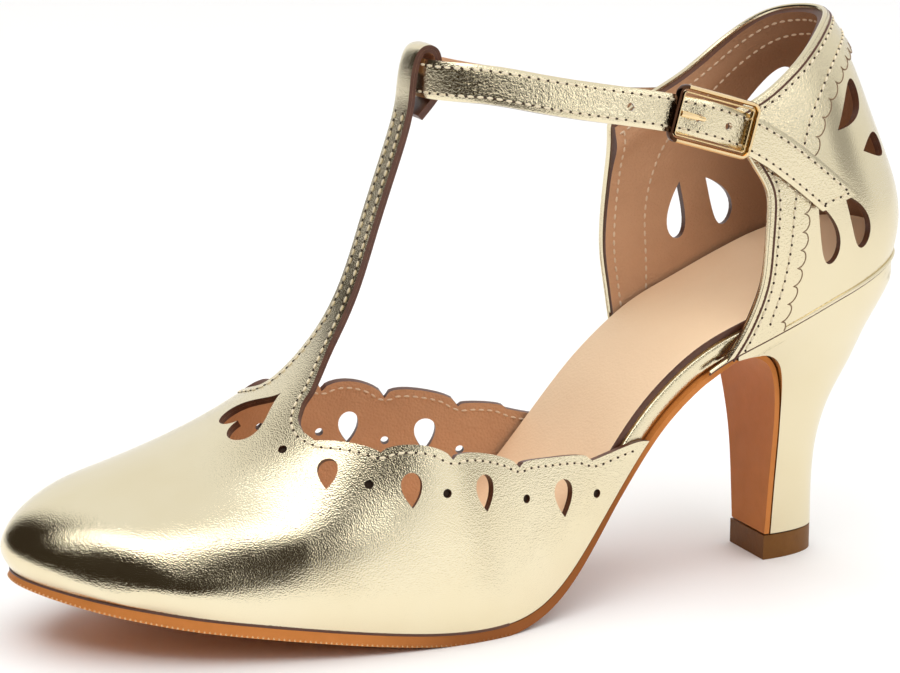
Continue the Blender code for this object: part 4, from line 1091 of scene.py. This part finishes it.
def sew_quarter():
    """Beads round the quarter's edge and seat, a dark bead of painted shade along the scallops, and the
    stitch rows beside edge and scallops.
    """
    free_edge = collar_line()
    edge = evenly(np.concatenate(free_edge), EDGE_STEP)
    scalloped = np.array(band_back())
    scalloped = scalloped[scalloped[:, 1] > BAND_FOOT]
    seat = np.zeros((SEAM_STEPS, 2))
    seat[:, 0] = np.linspace(wing_edge(1)[1, 0], wing_edge(2)[1, 0], SEAM_STEPS)
    beads = (
        ("collar_bead", edge, BEAD_OUT, BEAD_RADIUS, COLLAR_SIDES, GOLD_SMOOTH),
        ("collar_piping", QUARTER.beside(edge, -PIPING_IN), BAND_LEVEL, PIPING_WIDE / 2, BEAD_SIDES, EDGE),
        # painted shade: the dark bead along the scallops stands for the shadow the band casts there
        ("band_edge_painted_shade", scalloped, BAND_LEVEL - SCALLOP_SHADE_WIDE / 4, SCALLOP_SHADE_WIDE / 2, BEAD_SIDES, SCALLOP_SHADE),
        ("seat_seam", seat, 0.0, PIPING_WIDE / 2, BEAD_SIDES, EDGE),
        ("seat_welt", seat + (0, SEAT_WELT_UP), SEAT_WELT_OUT, SEAT_WELT / 2, BEAD_SIDES, GOLD_SMOOTH),
    )
    for name, line, level, radius, sides, material in beads:
        settle(name, tube(QUARTER.at(line, level), radius, sides), [material])
    sewing = Sewing()
    lining = Sewing()
    curve, long = band_curve()
    scallop_line = curve(np.linspace(0, long, SEAM_STEPS))
    scallop_line = scallop_line[scallop_line[:, 1] > SCALLOP_FOOT]
    rows = [QUARTER.beside(evenly(part, EDGE_STEP), -COLLAR_SEW) for part in free_edge]
    rows.append(QUARTER.beside(scallop_line, SCALLOP_SEW))
    for line in rows:
        line = line[(line[:, 1] > SEAT_SEW) & (line[:, 1] < QUARTER_SCALE)]
        sewing.on(QUARTER, line, BAND_LEVEL + SEW_LIFT)
        back = evenly(line, SEW_STEP)
        lining.row(QUARTER.at(back, collar_pad(back)), -QUARTER.facing(back))
    sewing.settle("quarter", THREAD, "gold_leather")
    lining.settle("quarter_lining", LINING_THREAD, "sock_lining", pricked=False)


def rounded(half_wide, low, high, corner, steps=4):
    """Rounded oblong section as pairs of share across and height."""
    section = []
    for cx, cz, start in ((1, low, -90), (1, high, 0), (-1, high, 90), (-1, low, 180)):
        for turn in np.radians(start + np.linspace(0, 90, steps)):
            inset = corner if cz == low else -corner
            section.append((cx * (half_wide - corner) + corner * math.cos(turn),
                            cz + inset + corner * math.sin(turn)))
    return section


def bed_layer(inset, low, high, corner):
    """Layer with rounded edges lying along the bed from toe to heel."""
    x = stations(*BED_STATIONS)
    outer, inner = plan_sides(x, inset)
    rings = []
    for first, second in zip(outer, inner):
        middle, half = (first + second) / 2, np.linalg.norm(second - first) / 2
        way = (second - first) / (2 * half)
        round_off = min(corner, half * CORNER_MOST)
        ring = []
        for across, rise in rounded(half, low, high, round_off):
            x_here, y_here = middle + way * across
            ring.append(lifted(x_here, y_here, rise))
        rings.append(ring)
    return ring_loft(rings)


def build_bed():
    """Wrapped insole and the sock laid on it."""
    insole = bed_layer(INSOLE_INSET, 0.0, INSOLE_THICK, INSOLE_CORNER)
    settle("insole_wrap", insole, [GOLD_SMOOTH], ["insole"])
    base = INSOLE_THICK + GAP
    sock = bed_layer(SOCK_INSET, base, base + SOCK_THICK, SOCK_CORNER)
    for face in sock.faces:
        face.material_index = int(abs(face.normal.y) > SIDEWAYS)
    settle("sock_leather", sock, [SOCK, EDGE], ["sock"])


breast_run = chords([row[:2] for row in BREAST])
breast_rows = spline(breast_run, BREAST)


def breast_point(run, back):
    """Point on the flap's heel side, set back square to it."""
    here = breast_rows(run)[:2]
    way = unit(breast_rows(run + STEP)[:2] - breast_rows(run - STEP)[:2])
    return here + np.array([-way[1], way[0]]) * back


def sole_thickness(x):
    """Thickness of the outsole before the heel and its share of the waist's thinning."""
    waist = np.clip((x - WAIST_START) / (WAIST_END - WAIST_START), 0, 1)
    tip = np.clip((TIP_REACH - x) / (TIP_REACH - TOE_TIP), 0, 1) ** 2
    thinned = (OUTSOLE_WAIST - OUTSOLE_FORE) * waist + (OUTSOLE_TIP - OUTSOLE_FORE) * tip
    return OUTSOLE_FORE + thinned, waist


def build_outsole():
    """Outsole from the toe through the waist and down the front of the heel, with a notched lower edge."""
    rings = []
    for x in stations(*SOLE_STATIONS):
        if x > BREAST[0][0] - BREAST_TURN:
            break
        thick, waist = sole_thickness(x)
        low, high = feather(np.array(x))
        across = np.linspace(low + WAIST_INSET * waist, high - WAIST_INSET * waist, SOLE_ACROSS)
        under = np.array([lifted(np.array(x), y, -GAP - thick) for y in across])
        under[:, 2] = np.maximum(under[:, 2], 0)
        above = [lifted(np.array(x), y, -GAP) for y in across[::-1]]
        rings.append(list(under) + above)
    for run in np.linspace(0, breast_run[-1], BREAST_STEPS):
        half = breast_rows(run)[2]
        across = np.linspace(-half, half, SOLE_ACROSS)
        front = breast_point(run, -OUTSOLE_WAIST)
        back = breast_point(run, 0)
        ring = [(front[0], y, front[1]) for y in across]
        rings.append(ring + [(back[0], y, back[1]) for y in across[::-1]])
    settle("outsole_leather", ring_loft(rings), [SOLE], ["outsole"])
    sole_edge()


def sole_edge():
    """Fine notches along the sole's lower edge, and a dark bead of painted shade in the joint under the
    upper.
    """
    x = stations(*EDGE_STATIONS)
    x = x[x < NOTCH_END]
    outer, inner = plan_sides(x, 0.0)
    round_toe = np.concatenate([outer[::-1], inner])
    thick = sole_thickness(np.minimum(round_toe[:, 0], WAIST_START))[0]
    low = lifted(round_toe[:, 0], round_toe[:, 1], -GAP - thick + NOTCH_UP)
    low[:, 2] = np.maximum(low[:, 2], NOTCH_WIDE / 2)
    run = chords(low)
    notches = bmesh.new()
    for at in np.arange(0, run[-1], NOTCH_PITCH):
        here = Vector([np.interp(at, run, column) for column in low.T])
        bmesh.ops.create_icosphere(notches, subdivisions=1, radius=NOTCH_WIDE / 2,
                                   matrix=Matrix.Translation(here))
    settle("sole_notches", notches, [SOLE_EDGE])
    # painted shade: a dark bead in the joint between upper and sole, for the thin shadow there
    outer, inner = plan_sides(x, JOINT_IN)
    round_toe = np.concatenate([outer[::-1], inner])
    joint = tube(lifted(round_toe[:, 0], round_toe[:, 1], -GAP / 2), JOINT_RADIUS)
    settle("sole_joint_painted_shade", joint, [EDGE])


def d_ring(front, back, half, power, bow, steps=44):
    """Level of the heel: straight across the front, round at the back, bowed up along the sides."""
    turn = np.linspace(-math.pi / 2, math.pi / 2, steps)
    inward = np.abs(np.cos(turn)) ** (2 / power)
    side = np.sign(turn) * np.abs(np.sin(turn)) ** (2 / power)
    x = front[0] + (back[0] - front[0]) * inward
    z = front[1] + (back[1] - front[1]) * inward + 4 * bow * inward * (1 - inward)
    return list(zip(x, half * side, z))


def under_seat(ring):
    """Keep a level of the heel within the feather line above it."""
    points = np.array(ring)
    outer, inner = feather(points[:, 0])
    points[:, 1] = np.clip(points[:, 1], outer, inner)
    return [tuple(point) for point in points]


def build_heel():
    """Covered heel, its top cut to the seat, and the top piece under it."""
    rings = []
    for run in np.linspace(0, breast_run[-1], HEEL_STEPS):
        row = breast_rows(run)
        rings.append(under_seat(d_ring(breast_point(run, GAP), row[3:5], *row[5:])))
    top = [(x, y, z + SEAT_SLACK) for x, y, z in rings[0]]
    seat = []
    across = np.linspace(-SEAT_HALF_WIDE, SEAT_HALF_WIDE, SEAT_COLUMNS)
    for place in np.linspace(-SEAT_HALF_LONG, SEAT_HALF_LONG, SEAT_ROWS):
        under = [(place, y, float(bed(np.array(place), y)) - GAP) for y in across]
        seat.append(under + [(place, y, SEAT_TOP) for y in across[::-1]])
    heel = cut(ring_loft([top] + rings), ring_loft(seat))
    settle("heel_cover", heel, [GOLD_SMOOTH], ["heel"])
    last = BREAST[-1]
    front = (last[0] - OUTSOLE_WAIST - GAP, 0)
    ring = d_ring(front, (last[3], 0), *last[5:])
    block = ring_loft([ring, [(x, y, TOP_PIECE_HIGH) for x, y, z in ring]])
    settle("top_piece_block", block, [RUBBER], ["top_piece"])


strap_run = chords([row[:3] for row in STRAP_LINE])
strap_line = spline(strap_run, STRAP_LINE)


def strap_frames(run):
    """Middle points, ways along, ways up and ways out of the ankle strap."""
    here = strap_line(run)
    way = unit((strap_line(run + STRAP_STEP) - strap_line(run - STRAP_STEP))[..., :3])
    lean, roll = np.moveaxis(np.radians(here[..., 3:]), -1, 0)
    up = np.stack([np.sin(lean), np.zeros_like(lean), np.cos(lean)], -1)
    up = unit(up - way * np.sum(up * way, -1, keepdims=True))
    out = np.cross(way, up)
    turn, over = np.cos(roll)[..., None], np.sin(roll)[..., None]
    return here[..., :3], way, up * turn - out * over, out * turn + up * over


def strap_points(run, across):
    """Middle layer of the ankle strap; across runs from its lower to its upper edge."""
    here, way, up, out = strap_frames(run)
    return here + up * across[..., None]


def strap_normals(run, across):
    """Outward side of the ankle strap."""
    return strap_frames(run)[3]


STRAP = Face(strap_points, strap_normals, 1.0)


def strap_front(places):
    """Front of the strap: swelling softly between its two stitch rows and inside the buckle."""
    across = np.abs(places[:, 1]) / (STRAP_WIDE / 2)
    away = np.clip((places[:, 0] - strap_run[-1] * BUCKLE_AT) / STRAP_SWELL_REACH, -1, 1)
    swell = STRAP_SWELL * (1 - away ** 2) ** 2
    edge = np.clip((across - STRAP_LEVEL) / (1 - STRAP_LEVEL), 0, 1)
    return STRAP_THICK / 2 - STRAP_EDGE_DROP * edge ** 2 + swell


def build_strap():
    """Ankle strap with its punched holes, brown back, two stitch rows and a row across its tail."""
    end = strap_run[-1]
    half = STRAP_WIDE / 2
    far, over = end + TAIL_BEYOND, half + CUT_OVER
    outlines = [[(end - TAIL_SLANT, -over), (end + TAIL_SLANT, over), (far, over), (far, -over)]]
    outlines += [disc(STRAP_HOLE) + (end * BUCKLE_AT + away, 0) for away in STRAP_HOLES_AT]

    def strap_sheet(columns, rows):
        along = np.linspace(0, end + TAIL_SLANT, columns)
        return flat_sheet(along, np.linspace(-half, half, rows), outlines)

    sheet = strap_sheet(*STRAP_MESH)
    margin = [abs(side.calc_center_median().y) > half - STRAP_MARGIN for side in sheet.faces]
    leather = lasted(sheet, STRAP, strap_front, STRAP_SPLIT)
    for side, smooth in zip(leather.faces, margin):
        side.material_index = int(smooth)
    settle("strap_leather", leather, [GOLD_CRINKLED, GOLD_SMOOTH], ["ankle_strap"])
    back = lasted(strap_sheet(*STRAP_BACK_MESH), STRAP, STRAP_SPLIT - SKIN_GAP, -STRAP_THICK / 2)
    settle("strap_lining", back, [LINING, EDGE])
    sewing = Sewing()
    rows = []
    for side in (-1, 1):
        across = side * (half - STRAP_SEW)
        stop = end - STRAP_END_SEW + side
        rows.append(np.linspace((STRAP_END_SEW, across), (stop, across), STRAP_SEW_STEPS))
    slant = np.array((TAIL_SLANT * TAIL_ALONG, half * TAIL_ACROSS))
    middle = np.array((end - TAIL_SEW, 0))
    rows.append(np.linspace(middle - slant, middle + slant, TAIL_SEW_STEPS))
    for row in rows:
        sewing.row(STRAP.at(row, strap_front(row)), STRAP.facing(row))
    sewing.settle("strap", THREAD, "gold_leather")


def frame_ring(middle, way, up, out, section):
    """Rounded oblong ring of the buckle with one of its sections."""
    corner = RING_CORNER
    half = np.array((BUCKLE_LONG, BUCKLE_WIDE)) / 2 - corner
    rings = []
    for quarter_turn in range(4):
        for turn in np.radians(90 * quarter_turn + np.linspace(0, 90, CORNER_STEPS)):
            sign = ((1, 1), (-1, 1), (-1, -1), (1, -1))[quarter_turn]
            spoke = np.array((math.cos(turn), math.sin(turn)))
            ring = []
            for reach, rise in section:
                flat = half * sign + spoke * (corner + reach)
                ring.append(middle + way * flat[0] + up * flat[1] + out * rise * BUCKLE_BAR / 2)
            rings.append(ring)
    return ring_loft(rings, closed=True)


def build_buckle():
    """Buckle frame with a stepped inner ring, and the prong lying in it."""
    here, way, up, out = strap_frames(np.array(strap_run[-1] * BUCKLE_AT))
    level = STRAP_THICK / 2 + GAP + BUCKLE_BAR / 2
    middle = here + out * level
    settle("buckle_lip", frame_ring(middle, way, up, out, LIP_SECTION), [PLATE])
    ring = frame_ring(middle, way, up, out, RING_SECTION)
    for face in ring.faces:
        # the end bar takes the plate with the painted dark reflection
        place = np.array(face.calc_center_median()) - middle
        face.material_index = int(place.dot(way) < DARK_REFLECTION_BAR - BUCKLE_LONG / 2)
    settle("buckle_ring", ring, [PLATE, PLATE_PAINTED_REFLECTION], ["buckle_frame"])
    start = -BUCKLE_LONG / 2 + BUCKLE_BAR + GAP
    rings = []
    turns = np.linspace(0, 2 * math.pi, PRONG_SIDES, endpoint=False)
    for share in np.linspace(0, 1, PRONG_STEPS):
        thick = PRONG_THICK / 2 * (1 - PRONG_TAPER * share ** 2)
        centre = middle + way * (start + PRONG_LONG * share) - out * PRONG_DROP * share ** 3
        rings.append([centre + (up * math.cos(t) + out * math.sin(t)) * thick for t in turns])
    settle("buckle_pin", ring_loft(rings), [PLATE], ["buckle_prong"])


build_bed()
build_outsole()
build_heel()
build_vamp()
sew_vamp()
build_quarter()
sew_quarter()
build_strap()
build_buckle()

CAMERA_AT, CAMERA_AIM = Vector((-0.3763, -0.6371, 0.2336)), Vector((-0.0916, 0.0025, 0.0655))
CAMERA_LENS, CAMERA_SENSOR = 116.64, 36.0
FLOOR_SIZE = 4.0
LIGHT_AIM = Vector((-0.08, 0.0, 0.05))
# soft lights: name, azimuth, elevation, distance, width, height, glow, mirrored in the gold or not
SOFT_BOXES = (
    ("toe_box", -50, 50, 1.2, 0.95, 0.32, 2.2, True),
    ("side_box", 8, 27, 1.3, 0.5, 0.34, 1.4, True),
    ("top_box", -20, 80, 3.0, 4.4, 4.4, 1.35, False),
)
BRIGHT_SKY, DARK_SKY = (0.94, 0.94, 0.94), (0.035, 0.027, 0.019)
# dark screens: azimuth and elevation of the middle, cosines where they fade out and are full, darkness
DARK_SCREENS = (
    ((-95, -10), 0.25, 0.42, 1.0), ((-36, 15), 0.75, 0.905, 1.0),
    ((-2, 14), 0.965, 0.99, 0.4), ((54, 9), 0.945, 0.985, 0.55),
)


def studio_floor():
    """Pale floor reaching far past the shoe."""
    finish = Finish.named("studio_floor")
    tone = finish.blend(finish.noise(3.0), (0.90, 0.89, 0.88), (0.92, 0.91, 0.90))
    material = finish.done(Base_Color=tone, Roughness=0.6)
    bm = bmesh.new()
    bmesh.ops.create_grid(bm, x_segments=1, y_segments=1, size=FLOOR_SIZE)
    mesh = bpy.data.meshes.new("studio_floor")
    bm.to_mesh(mesh)
    bm.free()
    mesh.materials.append(material)
    floor = bpy.data.objects.new("studio_floor", mesh)
    bpy.context.scene.collection.objects.link(floor)


def compass(azimuth, elevation):
    """Direction from the shoe; azimuth 0 lies in front of the outer side, 90 behind the heel."""
    a, e = math.radians(azimuth), math.radians(elevation)
    return Vector((math.sin(a) * math.cos(e), -math.cos(a) * math.cos(e), math.sin(e)))


def soft_box(name, azimuth, elevation, far, wide, high, glow, mirrored):
    """Rectangular soft light turned to the shoe, its brightness given whatever its size."""
    light = bpy.data.lights.new(name, "AREA")
    light.shape = "RECTANGLE"
    light.size, light.size_y = wide, high
    light.energy = glow * math.pi * wide * high
    lamp = bpy.data.objects.new(name, light)
    lamp.visible_glossy = mirrored
    lamp.location = LIGHT_AIM + compass(azimuth, elevation) * far
    lamp.rotation_euler = (LIGHT_AIM - lamp.location).to_track_quat("-Z", "Y").to_euler()
    bpy.context.scene.collection.objects.link(lamp)


def studio_sky():
    """Bright studio with dark screens round the shoe for the gold to mirror."""
    finish = Finish(bpy.data.worlds.new("studio_sky"), "Background")
    place = finish.add("ShaderNodeTexCoord", output="Generated")
    dark = 0.0
    for heading, edge, full, share in DARK_SCREENS:
        toward = finish.add("ShaderNodeVectorMath", {"operation": "DOT_PRODUCT"},
                            {0: place, 1: compass(*heading)}, output="Value")
        dark = (finish.span(toward, edge, full) * share).most(dark)
    tone = finish.blend(dark, BRIGHT_SKY, DARK_SKY)
    bpy.context.scene.world = finish.done(Color=tone, Strength=1.0)


def photo_camera():
    """Camera at the photograph's angle."""
    data = bpy.data.cameras.new("camera")
    data.lens = CAMERA_LENS
    data.sensor_width = CAMERA_SENSOR
    camera = bpy.data.objects.new("camera", data)
    camera.location = CAMERA_AT
    camera.rotation_euler = (CAMERA_AIM - CAMERA_AT).to_track_quat("-Z", "Y").to_euler()
    bpy.context.scene.collection.objects.link(camera)
    bpy.context.scene.camera = camera


studio_floor()
studio_sky()
for box in SOFT_BOXES:
    soft_box(*box)
photo_camera()
bpy.context.scene.view_settings.view_transform = "Standard"
